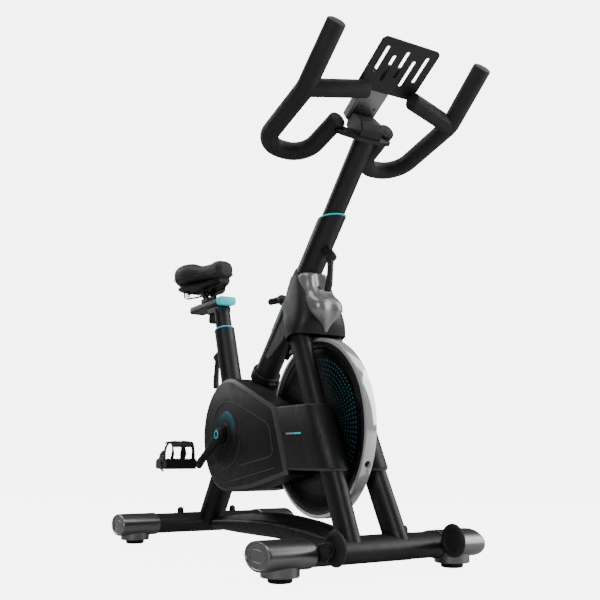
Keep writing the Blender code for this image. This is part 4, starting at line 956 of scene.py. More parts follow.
def build_covers():
    outline = cover_outline()
    for name, side, face in (("right", -1, COVER_FACE), ("left", 1, 0.0800)):
        flank = 0.0300
        # the left tray is grey, not black: painted light, for the front light on its edge that shows below
        # the right cover
        tray = layered("cover_" + name, outline,
                       [(0.004, flank - 0.004), (0, flank), (0, face - 0.0085), (0.0016, face - 0.0066)],
                       side, PLASTIC if side < 0 else GREY_PANEL_AND_PAINTED_LIGHT)
        # the bevel round the cover's face is the lighter edge grey: a painted highlight on the bevel
        bevel = layered("cover_bevel_" + name, outline,
                        [(0.0014, face - 0.0068), (0.0030, face - 0.0052), (0.0095, face - 0.0008),
                         (0.0115, face - 0.0004)], side, EDGE)
        plate = layered("cover_face_" + name, inset(outline, 0.0108),
                        [(0, face - 0.0060), (0, face - 0.0006), (0.0012, face)], side, PLASTIC)
        rear = [p for p in outline if p[0] < -0.040] + [(-0.040, 0.180), (-0.040, 0.455)]
        back = layered("cover_back_" + name, rear, [(0.0, 0.0005), (0.0, flank + 0.002)], side, PLASTIC)
        for piece in (tray, bevel, plate, back):
            carve(piece, rod("hole", 0.0225, 0.02, 0.13, CRANK, Y * side, PLASTIC, 64))
        carve(tray, mast_room())
        carve(back, mast_room(), seat_room(), strut_room())
        show(tray, "frame", "drive_cover_" + name)
        for piece in (bevel, plate, back):
            show(piece, "frame")
        if side < 0:
            build_cover_lines(side, face)
        ring_profile = [(0.0225, face - 0.004), (0.0680, face - 0.004), (0.0680, face + 0.0008),
                        (0.0670, face + 0.0016), (0.0225, face + 0.0020)]
        show(lathe("crank_disc_" + name, ring_profile, CRANK, Y * side, CRESCENT, 128, True), "frame")
        hub = [(0.0222, face - 0.002), (0.0330, face - 0.002), (0.0330, face + 0.0040),
               (0.0315, face + 0.0055), (0.0222, face + 0.0055)]
        show(lathe("crank_surround_" + name, hub, CRANK, Y * side, PLASTIC, 96, True), "frame")


def mast_room():
    """The room that the main tube takes up, for cutting it out of the covers."""
    return rod("room", MAIN_RADIUS + 0.0004, -0.30, 0.30, main_at(0.45), MAST, PLASTIC, 72)


def seat_room():
    return rod("room", SEAT_RADIUS + 0.0004, -0.30, 0.2, SEAT_POINT, SEAT, PLASTIC, 72)


def strut_room():
    return sweep("room", [Vector((-0.506, 0, 0.018)), Vector((-0.250, 0, 0.381))], 0.0350, PLASTIC,
                 count=64)


def build_cover_lines(side, face):
    # the raised lines are the lighter edge grey: painted highlight along their edges
    upper = [(-0.158, 0.4435), (0.088, 0.364), (0.110, 0.350), (0.131, 0.285), (0.126, 0.274),
             (0.109, 0.269)]
    raised_line("cover_line_upper", upper, side, face, 0.0030, EDGE)
    raised_line("cover_line_lower", [(0.109, 0.269), (-0.076, 0.2430)], side, face, 0.0030, EDGE)
    raised_line("cover_line_round", arc_points(CRANK, 0.098, 0, 350, 70), side, face, 0.0030, EDGE)
    raised_line("cover_line_foot", [(0.143, 0.241), (-0.100, 0.2030), (-0.121, 0.200)]
                + arc_points(CRANK, 0.140, 285, 210, 18), side, face, 0.0026, EDGE)


def leg_box_back(z):
    """Where the front box meets the drive cover's slanting end, at a height."""
    return 0.130 + (0.404 - z) * 0.412


def leg_box_row(z, side, shrink=0.0, back_shrink=0.0):
    back = leg_box_back(z) + 0.0006
    leg = leg_at(z, side)
    outline = [(back + back_shrink, 0.034), (back + back_shrink, 0.0975 - shrink),
               (back + back_shrink + 0.012, 0.0975 - shrink), (leg.x - 0.052, 0.0966 - shrink)]
    # the swelling round the leg's own sleeve
    for step in range(9):
        along = step / 8
        lift = 0.0010 * math.sin(math.pi * along)
        outline.append((leg.x - 0.046 + 0.040 * along, 0.0964 + lift - shrink))
    for turn in range(74, -35, -6):
        a = math.radians(turn)
        outline.append((leg.x + (0.045 - shrink) * math.cos(a), 0.058 + (0.0395 - shrink) * math.sin(a)))
    outline.append((leg.x + 0.030, 0.034))
    return [Vector((x, y * side, z)) for x, y in outline]


def leg_room(side):
    """The room that a fork leg takes up, for cutting it out of what wraps round it."""
    rows = [leg_section(leg_at(z, side), side, 0.0006) for z in (0.20, 0.45)]
    return mesh_object("room", solid(rows), PLASTIC)


def build_leg_boxes():
    for name, side in SIDES.items():
        low, high = 0.236, 0.402
        rows = [leg_box_row(low, side, 0.0075, 0.004), leg_box_row(low + 0.0075, side, 0.0004),
                leg_box_row(low + 0.0085, side), leg_box_row(high - 0.0050, side),
                leg_box_row(high - 0.0022, side, 0.0012), leg_box_row(high, side, 0.0045, 0.002)]
        box = mesh_object("leg_box_" + name, solid(rows), PLASTIC)
        slot_z = 0.322
        slot_x = leg_at(slot_z, side).x + 0.032
        slot = sweep("slot", [Vector((slot_x, side * 0.098, slot_z - 0.008)),
                              Vector((slot_x, side * 0.098, slot_z + 0.008))], 0.0030, PLASTIC, 0.014)
        carve(box, leg_room(side), slot)
        nodes = ("axle_cover_right",) if side < 0 else ()
        show(box, "frame", *nodes)
        # the strip at the box's foot is the lighter edge grey: a painted highlight on its bevel
        trim = [leg_box_row(low + 0.0005, side, 0.0068, 0.006), leg_box_row(low + 0.0070, side, 0.0002)]
        strip = mesh_object("leg_box_bevel_" + name,
                            solid([[p + Vector((0, side * 0.0006, -0.0004)) for p in row] for row in trim]),
                            EDGE)
        show(carve(strip, leg_room(side)), "frame")
        # the upright ridge down the rear edge, which covers the joint with the drive cover; its grey is a
        # painted highlight along that convex edge
        path = [Vector((leg_box_back(z) + 0.0080, 0.0962 * side, z))
                for z in (0.2400, 0.2520, 0.3300, 0.3880, 0.4000)]
        thick = [0.0018, 0.0030, 0.0030, 0.0030, 0.0018]
        wide = [0.0040, 0.0078, 0.0078, 0.0078, 0.0040]
        show(sweep("leg_box_ridge_" + name, path, wide, GREY_PANEL_AND_PAINTED_LIGHT, thick, 28, 2.4, X), "frame")
        # a stripe of two colours, printed on the box
        mark_y, mark_z, mark_half = (0.0977 if side > 0 else -0.0987), 0.3290, 0.0022
        for mark, material, rear, front in (("light", LIGHT_MARK, 0.203, 0.240),
                                            ("teal", TEAL_PAINTED_GLOW, 0.243, 0.278)):
            show(block(f"leg_box_mark_{mark}_{name}", (rear, mark_y, mark_z - mark_half),
                       (front, mark_y + 0.0010, mark_z + mark_half), material), "frame")


# ---- flywheel and crank ---------------------------------------------------------------
def build_flywheel():
    half, radius = RIM_HALF, RIM_RADIUS
    band = [(radius - 0.0100, -half + 0.0004), (radius - 0.0020, -half), (radius - 0.0005, -half + 0.0006),
            (radius, -half + 0.0020), (radius, half - 0.0020), (radius - 0.0005, half - 0.0006),
            (radius - 0.0020, half), (radius - 0.0100, half - 0.0004)]
    rim = lathe("rim_band", band, WHEEL, Y, CHROME, 256, True)
    # a finger hole bored in from the rim's face
    turn = math.radians(-24)
    out = X * math.cos(turn) + Z * math.sin(turn)
    hole = rod("hole", 0.0088, radius - 0.0125, radius + 0.01, WHEEL, out, CHROME, 40)
    show(carve(rim, hole), "flywheel", "flywheel_rim")
    # a black disc down in the finger hole: painted shade inside the hole
    hole_shade = rod("rim_hole_painted_shade", 0.0094, radius - 0.0122, radius - 0.0090, WHEEL, out, DARK, 40)
    show(hole_shade, "flywheel")
    for name, side in SIDES.items():
        faces = [(RIM_INNER, 0.0005), (radius - 0.0095, 0.0005), (radius - 0.0095, half - 0.0003),
                 (radius - 0.0105, half - 0.0004), (radius - 0.0110, half - 0.0010),
                 (RIM_INNER + 0.0025, half - 0.0010), (RIM_INNER + 0.0010, half - 0.0020),
                 (RIM_INNER, half - 0.0040)]
        show(lathe("rim_face_" + name, faces, WHEEL, Y * side, TURNED, 256, True), "flywheel")
        disc = [(0.0120, 0.0004), (RIM_INNER - 0.0002, 0.0004), (RIM_INNER - 0.0002, 0.0110),
                (RIM_INNER - 0.0040, 0.0112), (RIM_INNER - 0.0060, 0.0102), (0.190, 0.0072),
                (0.176, 0.0066), (0.0560, 0.0072), (0.0520, 0.0084), (0.0380, 0.0090),
                (0.0340, 0.0110), (0.0330, 0.0210), (0.0310, 0.0222), (0.0120, 0.0222)]
        show(lathe("wheel_disc_" + name, disc, WHEEL, Y * side, DISC, 192, True), "flywheel",
             "flywheel_disc")
        for i in range(6):
            angle = math.radians(60 * i + 30)
            head = WHEEL + X * (0.045 * math.cos(angle)) + Z * (0.045 * math.sin(angle))
            bolt = [(0.0001, 0.0080), (0.0052, 0.0080), (0.0052, 0.0120), (0.0046, 0.0128),
                    (0.0026, 0.0130), (0.0026, 0.0112), (0.0001, 0.0112)]
            show(lathe(f"hub_bolt_{name}_{i}", bolt, head, Y * side, STEEL, 24), "flywheel")


def pedal_centre(side):
    return place("pedal_right_spin" if side < 0 else "pedal_left_spin")


def build_cranks():
    for name, side in SIDES.items():
        pedal = pedal_centre(side)
        tip = Vector((pedal.x, 0, pedal.z))
        run = (tip - CRANK).normalized()
        up = Vector((-run.z, 0, run.x))
        reach = (tip - CRANK).length
        stations = [(-0.0205, 0.0060, 0.0050), (-0.0180, 0.0120, 0.0070), (-0.0080, 0.0172, 0.0076),
                    (0.0060, 0.0178, 0.0076), (0.0300, 0.0155, 0.0075), (0.0800, 0.0138, 0.0074),
                    (reach - 0.035, 0.0124, 0.0073), (reach - 0.008, 0.0140, 0.0074),
                    (reach + 0.0060, 0.0130, 0.0073), (reach + 0.0120, 0.0085, 0.0068),
                    (reach + 0.0140, 0.0040, 0.0050)]
        rows = []
        for along, half, thick in curve_through(stations, 5):
            middle = CRANK + run * along + Y * (0.117 * side)
            rows.append(ring(middle, up, Y, half, thick, 48, 3.6))
        arm = mesh_object("crank_arm_shape_" + name, solid(rows), PAINT)
        show(arm, "crank", "crank_arm_" + name)
        out = Y * side
        boss = [(0.0001, 0.1068), (0.0205, 0.1068), (0.0205, 0.1228), (0.0198, 0.1242), (0.0001, 0.1242)]
        show(lathe("crank_boss_" + name, boss, CRANK, out, PAINT, 72), "crank")
        cap = [(0.0001, 0.1236), (0.0172, 0.1236), (0.0176, 0.1262), (0.0160, 0.1284), (0.0120, 0.1290),
               (0.0001, 0.1286)]
        show(lathe("crank_cap_" + name, cap, CRANK, out, PLASTIC, 72), "crank")
        ring_mark = [(0.0098, 0.1280), (0.0128, 0.1280), (0.0128, 0.1292), (0.0122, 0.1298),
                     (0.0098, 0.1298)]
        show(lathe("crank_cap_ring_" + name, ring_mark, CRANK, out, TEAL_PAINTED_GLOW, 72, True), "crank")
        pin = [(0.0001, 0.1085), (0.0098, 0.1085), (0.0100, 0.1100), (0.0100, 0.1375), (0.0090, 0.1385),
               (0.0060, 0.1386), (0.0060, 0.2380), (0.0050, 0.2400), (0.0001, 0.2400)]
        show(lathe("pedal_pin_" + name, pin, tip, out, STEEL, 40), "crank")


def build_pedals():
    for name, side in SIDES.items():
        body = name + "_pedal"
        c = pedal_centre(side)
        half_x, half_y, half_z = 0.045, 0.048, 0.0150

        def at(x, y, z):
            return (c.x + x, c.y + y, c.z + z)

        outline = [(-half_x, -0.006), (-half_x + 0.006, -half_z), (half_x - 0.002, -half_z),
                   (half_x, -half_z + 0.002), (half_x, half_z - 0.002), (half_x - 0.002, half_z),
                   (-half_x + 0.006, half_z), (-half_x, 0.006)]
        platform = prism("pedal_platform_" + name,
                         in_side_view([(c.x + x, c.z + z) for x, z in outline]),
                         c.y - half_y, c.y + half_y, PLASTIC)
        cutters = []
        for x0, x1 in ((-0.036, -0.0125), (0.0125, 0.036)):
            for y0, y1 in ((-0.038, -0.003), (0.003, 0.038)):
                cutters.append(block("cut", at(x0, y0, -0.02), at(x1, y1, 0.02), PLASTIC))
        cutters.append(rod("cut", 0.0064, -0.06, 0.06, c, Y, PLASTIC, 32))
        show(soften(carve(platform, *cutters), 0.0012, 2), body, "pedal_" + name)
        for i, x in enumerate((-0.0405, 0.0405)):
            teeth = []
            for k in range(9):
                y = -0.040 + 0.010 * k
                teeth.append(block("tooth", at(x - 0.002, y - 0.0018, 0.0135),
                                   at(x + 0.002, y + 0.0018, 0.0169), PLASTIC))
            first = teeth.pop(0)
            show(merge(first, teeth), body).name = f"pedal_teeth_{name}_{i}"
        # the band on the pedal's end is the lighter edge grey: a painted highlight on that end
        band = block("pedal_end_band_" + name, at(-0.043, side * 0.0478 - 0.0010, -0.0100),
                     at(0.043, side * 0.0478 + 0.0010, 0.0100), EDGE)
        show(soften(band, 0.0008), body)
        cap = lathe("pedal_dust_cap_" + name, [(0.0001, 0.0470), (0.0085, 0.0470), (0.0085, 0.0500),
                                               (0.0070, 0.0512), (0.0001, 0.0514)],
                    c, Y * side, PLASTIC, 40)
        show(cap, body)
        build_toe_cage(name, side, body, c)


def build_toe_cage(name, side, body, c):
    front, base, half = c.x + 0.0454, c.z - 0.0125, 0.042
    side_path = [(front + 0.0018, base + 0.001), (front + 0.0050, base + 0.020),
                 (front + 0.0110, base + 0.045), (front + 0.0080, base + 0.064),
                 (front - 0.0020, base + 0.0745), (front - 0.0200, base + 0.0782),
                 (front - 0.0450, base + 0.0742)]
    path = curve_through([list(p) for p in side_path], 6)
    rows = []
    for i, (x, z) in enumerate(path):
        before, after = path[max(i - 1, 0)], path[min(i + 1, len(path) - 1)]
        way = Vector((after[0] - before[0], 0, after[1] - before[1])).normalized()
        off = Vector((-way.z, 0, way.x)) * 0.00165
        middle = Vector((x, c.y, z))
        along = i / (len(path) - 1)
        wide = half * (1 - 0.10 * max(0.0, math.sin(math.pi * (along - 0.15) / 0.6)) - 0.10 * along)
        rows.append([middle + Y * -wide + off, middle + Y * wide + off, middle + Y * wide - off,
                     middle + Y * -wide - off])
    cage = mesh_object("toe_clip_" + name, solid(rows), PLASTIC)
    cutters = []
    for y0, y1 in ((-0.0320, -0.0065), (0.0065, 0.0320)):
        opening = prism("cut", [Vector((0, c.y + y, base + z)) for y, z in
                                ((y0, 0.020), (y1, 0.020), (y1 * 0.86 + y0 * 0.14, 0.042), (y1, 0.062),
                                 (y0, 0.062), (y0 * 0.86 + y1 * 0.14, 0.042))],
                        front - 0.02, front + 0.05, PLASTIC, X)
        cutters.append(opening)
    show(soften(carve(cage, *cutters), 0.0009, 2), body, "toe_cage_" + name)
    # the strap: over the top of the clip, down both sides to the platform
    strap = [(-0.0445, 0.008), (-0.0462, 0.030), (-0.0440, 0.060), (-0.0330, 0.0770), (-0.0150, 0.0808),
             (0.0150, 0.0808), (0.0330, 0.0770), (0.0440, 0.060), (0.0462, 0.030), (0.0445, 0.008)]
    rows = []
    line = curve_through([list(p) for p in strap], 5)
    for i, (y, z) in enumerate(line):
        before, after = line[max(i - 1, 0)], line[min(i + 1, len(line) - 1)]
        way = Vector((0, after[0] - before[0], after[1] - before[1])).normalized()
        off = Vector((0, -way.z, way.y)) * 0.0009
        lean = -0.030 + 0.012 * (z / 0.08)
        middle = Vector((front + lean, c.y + y, base + z))
        rows.append([middle - X * 0.009 + off, middle + X * 0.009 + off, middle + X * 0.009 - off,
                     middle - X * 0.009 - off])
    show(mesh_object("toe_strap_" + name, solid(rows), WEBBING), body)
    outer = c.y + side * 0.0482
    buckle = block("strap_buckle_" + name, (front - 0.0355, outer - 0.003, base + 0.0280),
                   (front - 0.0125, outer + 0.003, base + 0.0520), STEEL)
    slot = block("cut", (front - 0.0320, outer - 0.01, base + 0.0380),
                 (front - 0.0160, outer + 0.01, base + 0.0420), STEEL)
    show(soften(carve(buckle, slot), 0.0010), body)
    tail = [(0.0490, 0.052), (0.0560, 0.044), (0.0600, 0.028), (0.0590, 0.010), (0.0530, -0.004),
            (0.0460, -0.010)]
    rows = []
    for y, z in curve_through([list(p) for p in tail], 5):
        middle = Vector((front - 0.0240, c.y + side * y, base + z))
        rows.append([middle + X * -0.0085 + Y * 0.0008, middle + X * 0.0085 + Y * 0.0008,
                     middle + X * 0.0085 - Y * 0.0008, middle + X * -0.0085 - Y * 0.0008])
    show(mesh_object("strap_tail_" + name, solid(rows), WEBBING), body)


# ---- handlebar ------------------------------------------------------------------------
BAR_POINTS = [(0.428, 0.077, 1.121), (0.280, 0.089, 1.070), (0.278, 0.220, 1.076),
              (0.512, 0.224, 1.137), (0.647, 0.222, 1.246)]
GRIP_RADIUS, CROSS_RADIUS = 0.0240, 0.0225
PLATE_LOW, PLATE_HIGH = Vector((0.522, 0, 1.171)), Vector((0.6480, 0, 1.2475))
PLATE_HALF = 0.087


def build_mast():
    # above the top, the post's end is closed by the bracket
    top = (1.0808 - MAST_POINT.z) / MAST.z
    low = (0.768 - MAST_POINT.z) / MAST.z
    post = lathe("mast_tube", [(POST_RADIUS - 0.002, low), (POST_RADIUS, low), (POST_RADIUS, top),
                               (POST_RADIUS - 0.002, top)], MAST_POINT, MAST, PAINT, 96, True)
    show(post, "mast", "mast_post")


def bar_path(side, steps=14):
    points = [Vector((x, y * side, z)) for x, y, z in BAR_POINTS]
    return corners(points, [0.060, 0.064, 0.060], steps)


def build_bars():
    for name, side in SIDES.items():
        path = bar_path(side)
        first, second = path[0], path[1]
        last, before = path[-1], path[-2]
        run_in, run_out = (first - second).normalized(), (last - before).normalized()
        radius = GRIP_RADIUS
        inner = path[1:-1]
        full = [first, first - run_in * 0.0012, first - run_in * 0.0040] + inner
        full += [last - run_out * 0.0040, last - run_out * 0.0012, last]
        halves = [radius - 0.0035, radius - 0.0012, radius] + [radius] * len(inner)
        halves += [radius, radius - 0.0012, radius - 0.0035]
        bar = sweep("grip_tube_" + name, full, halves, GRIP, count=56)
        point = Vector((BAR_POINTS[3][0], BAR_POINTS[3][1] * side, BAR_POINTS[3][2]))
        middle = Vector((0.550, 0.068 * side, 1.156))
        run = (middle - point).normalized()
        cross_path = [point, middle - run * 0.0040, middle - run * 0.0012, middle]
        cross = sweep("cross", cross_path, [CROSS_RADIUS, CROSS_RADIUS, CROSS_RADIUS - 0.0012,
                                                CROSS_RADIUS - 0.0035], GRIP, count=56)
        show(join(bar, cross), "mast", "handlebar_" + name)
        ends = ((first, run_in, radius), (last, run_out, radius), (middle, run, CROSS_RADIUS))
        for spot, out, size in ends:
            disc = [(0.0001, -0.0060), (size - 0.0050, -0.0060), (size - 0.0042, -0.0004),
                    (size - 0.0060, 0.0004), (size - 0.0090, -0.0002), (0.0001, -0.0004)]
            end = lathe(f"grip_end_{name}", disc, spot, out, PLASTIC, 48)
            show(end, "mast")


def build_bar_bracket():
    """The folded seat that clamps both bars on the post's head."""
    ahead = MAST_ACROSS
    middle = main_at(1.084)
    stations = [(-0.0840, 0.034, -0.010), (-0.0825, 0.038, -0.004), (-0.0740, 0.040, 0.006),
                (-0.0580, 0.040, 0.016), (-0.0440, 0.034, 0.026), (-0.0400, 0.030, 0.029),
                (0.0400, 0.030, 0.029), (0.0440, 0.034, 0.026), (0.0580, 0.040, 0.016),
                (0.0740, 0.040, 0.006), (0.0825, 0.038, -0.004), (0.0840, 0.034, -0.010)]
    rows = []
    for y, back, front in stations:
        centre = middle + Y * y - MAST * (0.10 * max(0.0, abs(y) - 0.040))
        rows.append([centre - ahead * back - MAST * 0.0060, centre + ahead * front - MAST * 0.0060,
                     centre + ahead * front + MAST * 0.0030, centre - ahead * back + MAST * 0.0030])
    bracket = mesh_object("bar_bracket", solid(rows), PAINT)
    cutters = [sweep("cut", bar_path(side, 6), GRIP_RADIUS + 0.0002, PAINT, count=40)
               for side in SIDES.values()]
    for side in SIDES.values():
        for reach, fore in ((0.056, 0.006), (0.070, -0.004)):
            spot = middle + Y * (side * reach) + ahead * fore
            cutters.append(rod("cut", 0.0036, -0.02, 0.02, spot, MAST, PAINT, 24))
    carve(bracket, *cutters)
    show(soften(bracket, 0.0008, 2), "mast", "handlebar_bracket")
    # the block between the post's head and the console's arm
    outline = in_side_view([(0.4140, 1.0880), (0.4580, 1.0700), (0.4740, 1.0880), (0.4700, 1.1120),
                            (0.4330, 1.1480), (0.4080, 1.1420), (0.4010, 1.1240)])
    show(soften(prism("bar_clamp_block", outline, -0.0340, 0.0340, PAINT), 0.003), "mast")


def build_console():
    along = (PLATE_HIGH - PLATE_LOW).normalized()
    normal = Vector((-along.z, 0, along.x))
    foot, head = Vector((0.4080, 0, 1.1360)), Vector((0.5440, 0, 1.2172))
    corner, depth, wall = 0.006, 0.029, 0.0028
    rows = []
    for base, half in ((foot, 0.038), (foot.lerp(head, 0.5), 0.039), (head, 0.040)):
        outside, inside = [], []
        for sign in (-1, 1):
            arc = []
            for step in range(7):
                a = math.radians(90 * step / 6)
                arc.append((sign * (half - corner + corner * math.sin(a)), corner - corner * math.cos(a)))
            edge = [(sign * half, depth)]
            outside += (edge + arc[::-1]) if sign < 0 else (arc + edge)
        for y, h in outside[::-1]:
            inside.append((math.copysign(max(abs(y) - wall, 0.0), y), max(h, wall)))
        rows.append([base + Y * y + normal * h for y, h in outside + inside])
    bracket = mesh_object("console_arm", solid(rows), BRUSHED)
    run = (head - foot).normalized()
    for y, reach in ((-0.022, 0.048), (0.022, 0.048)):
        spot = foot + run * reach + Y * y
        carve(bracket, rod("cut", 0.0030, -0.01, 0.01, spot, normal, BRUSHED, 24))
    slot_at = foot + run * 0.014
    carve(bracket, sweep("cut", [slot_at - normal * 0.01, slot_at + normal * 0.01], 0.0034, BRUSHED, 0.0110,
                         24, 3.0, Y))
    show(soften(bracket, 0.0006, 2), "mast", "console_bracket")
    # a black block inside the arm's channel: painted shade in its hollow
    arm_shade = prism("console_arm_painted_shade", [foot + normal * 0.0045 + run * 0.004,
                                           foot + normal * 0.0045 + run * 0.050,
                                           foot + normal * 0.0265 + run * 0.050,
                                           foot + normal * 0.0265 + run * 0.004], -0.030, 0.030, DARK)
    show(arm_shade, "mast")
    base = PLATE_LOW + normal * 0.0036
    rest = prism("plate_mount", [base + along * 0.030, base + along * 0.074,
                                 base + along * 0.066 + normal * 0.026,
                                 base + along * 0.026 + normal * 0.026], -0.026, 0.026, PAINT)
    show(soften(rest, 0.002), "mast")

    length = (PLATE_HIGH - PLATE_LOW).length
    thick, round_off = 0.004, 0.014
    rows = []
    for shrink, lift in ((0.0006, 0.0), (0, 0.0006), (0, thick - 0.0006), (0.0006, thick)):
        outline = []
        for cx, cy, start in ((PLATE_HALF - round_off, length - round_off, 0),
                              (round_off - PLATE_HALF, length - round_off, 90),
                              (round_off - PLATE_HALF, round_off, 180),
                              (PLATE_HALF - round_off, round_off, 270)):
            for step in range(0, 91, 10):
                a = math.radians(start + step)
                reach = round_off - shrink
                outline.append((cx + reach * math.cos(a), cy + reach * math.sin(a)))
        rows.append([PLATE_LOW + Y * y + along * a + normal * lift for y, a in outline])
    plate = mesh_object("tablet_holder", solid(rows), PAINT)
    slots, slot_half, slot_length, slot_pitch = [], 0.0052, 0.076, 0.0300
    for i in range(5):
        y = (i - 2) * slot_pitch
        start = 0.049 if i % 2 == 0 else 0.030
        outline = []
        for centre, turn0 in ((start + slot_length - slot_half, 0), (start + slot_half, 180)):
            for step in range(0, 181, 20):
                a = math.radians(turn0 + step)
                outline.append(PLATE_LOW + Y * (y + slot_half * math.cos(a))
                               + along * (centre + slot_half * math.sin(a)))
        slots.append(mesh_object("cut", solid([[p - normal * 0.01 for p in outline],
                                               [p + normal * 0.02 for p in outline]]), PAINT))
    show(carve(plate, *slots), "mast", "tablet_plate")


# ---- seat post and saddle -------------------------------------------------------------
def build_seat_post():
    top = (0.7600 - SEAT_POINT.z) / SEAT.z
    low = (0.5200 - SEAT_POINT.z) / SEAT.z
    post = lathe("saddle_mast", [(SEAT_POST_RADIUS - 0.002, low), (SEAT_POST_RADIUS, low),
                                 (SEAT_POST_RADIUS, top), (SEAT_POST_RADIUS - 0.002, top)],
                 SEAT_POINT, SEAT, PAINT, 96, True)
    head = block("slide_head", (-0.480, -0.024, 0.748), (-0.393, 0.024, 0.7705), PAINT)
    show(post, "saddle_post", "seat_post")
    show(soften(head, 0.0035), "saddle_post")
    knob = Vector((-0.466, 0, 0))
    profile = [(0.0001, 0.7204), (0.0160, 0.7200), (0.0192, 0.7210), (0.0208, 0.7230), (0.0212, 0.7260),
               (0.0212, 0.7440), (0.0204, 0.7464), (0.0120, 0.7474), (0.0050, 0.7476), (0.0050, 0.7700),
               (0.0001, 0.7700)]
    turned_knob = lathe("slide_clamp_knob", profile, knob, Z, PLASTIC, 72)
    ribs = []
    for i in range(18):
        turn = 2 * math.pi * i / 18
        out = X * math.cos(turn) + Y * math.sin(turn)
        ribs.append(sweep("rib", [knob + out * 0.0211 + Z * 0.7240, knob + out * 0.0211 + Z * 0.7445],
                          0.0011, PLASTIC, count=10))
    merge(turned_knob, ribs)
    show(turned_knob, "saddle_clamp_knob", "slide_knob")


def slide_row(section, x, scale_y, scale_z):
    """The slide's rounded section at a place along it."""
    return [Vector((x, y * scale_y, SLIDE_Z + (z - SLIDE_Z) * scale_z)) for y, z in section]


def build_slide():
    section = []
    for y, z, start in ((0.022, 0.790, 0), (-0.022, 0.790, 90), (-0.022, 0.780, 180), (0.022, 0.780, 270)):
        for step in range(0, 91, 15):
            a = math.radians(start + step)
            section.append((y + 0.008 * math.cos(a), z + 0.008 * math.sin(a)))
    rows = []
    for x, scale in ((-0.6280, 0.72), (-0.6270, 0.86), (-0.6240, 0.95), (-0.6180, 1.0), (-0.3920, 1.0)):
        rows.append(slide_row(section, x, scale, scale))
    show(mesh_object("slide_bar", solid(rows), PAINT), "saddle", "slide_rail")
    rows = []
    for x, grow in ((-0.3916, 0.0), (-0.3916, 0.0010), (-0.3700, 0.0010), (-0.3686, 0.0002),
                    (-0.3680, -0.0012)):
        rows.append(slide_row(section, x, 1 + grow / 0.030, 1 + grow / 0.013))
    show(mesh_object("slide_end_cap", solid(rows), TEAL_PAINTED_GLOW), "saddle", "slide_cap")
    rows = [slide_row(section, x, 1.006, 1.01) for x in (-0.3990, -0.3925)]
    show(mesh_object("slide_cap_rim", solid(rows), PLASTIC), "saddle")
    clamp = block("saddle_clamp_base", (-0.545, -0.0215, 0.7984), (-0.490, 0.0215, 0.8150), DARK_STEEL)
    show(soften(clamp, 0.004), "saddle", "saddle_clamp")
    for name, side in SIDES.items():
        ear = lathe("clamp_ear_" + name, [(0.0001, 0.010), (0.0175, 0.010), (0.0190, 0.0115),
                                          (0.0190, 0.0190), (0.0175, 0.0205), (0.0090, 0.0210),
                                          (0.0080, 0.0250), (0.0001, 0.0255)],
                    Vector((-0.5175, 0, 0.8290)), Y * side, DARK_STEEL, 64)
        show(ear, "saddle")


PAD = [(-0.668, 0.052, 0.884, 0.928), (-0.657, 0.078, 0.868, 0.946), (-0.628, 0.096, 0.861, 0.957),
       (-0.585, 0.099, 0.861, 0.955), (-0.545, 0.087, 0.865, 0.941), (-0.505, 0.066, 0.868, 0.931),
       (-0.465, 0.050, 0.867, 0.932), (-0.428, 0.042, 0.863, 0.937), (-0.400, 0.036, 0.864, 0.931),
       (-0.382, 0.024, 0.872, 0.915)]
PAD_SWELL = 0.0045                             # how far the pad may blow out, and so its shrinking


def pad_rows():
    rows = []
    for x, half, low, high in curve_through(PAD, 5):
        half -= PAD_SWELL
        low, high = low + 0.002, high - PAD_SWELL
        middle, tall = (low + high) / 2, (high - low) / 2
        points = []
        count = 72
        for i in range(count):
            turn = 2 * math.pi * (i + 0.5) / count
            ca, sa = math.cos(turn), math.sin(turn)
            y = math.copysign(abs(ca) ** 0.72, ca) * half
            z = middle + math.copysign(abs(sa) ** 0.78, sa) * tall
            if sa > 0:
                # the relief down the middle, deepest between the wings
                relief = 0.0075 * math.exp(-(y / 0.014) ** 2)
                relief *= max(0.0, min(1.0, (-0.42 - x) / 0.10))
                wing = max(0.0, min(1.0, (-0.50 - x) / 0.08))
                z -= relief * sa + 0.0050 * wing * math.exp(-(y / 0.045) ** 2)
            points.append(Vector((x, y, z)))
        rows.append(points)
    return rows


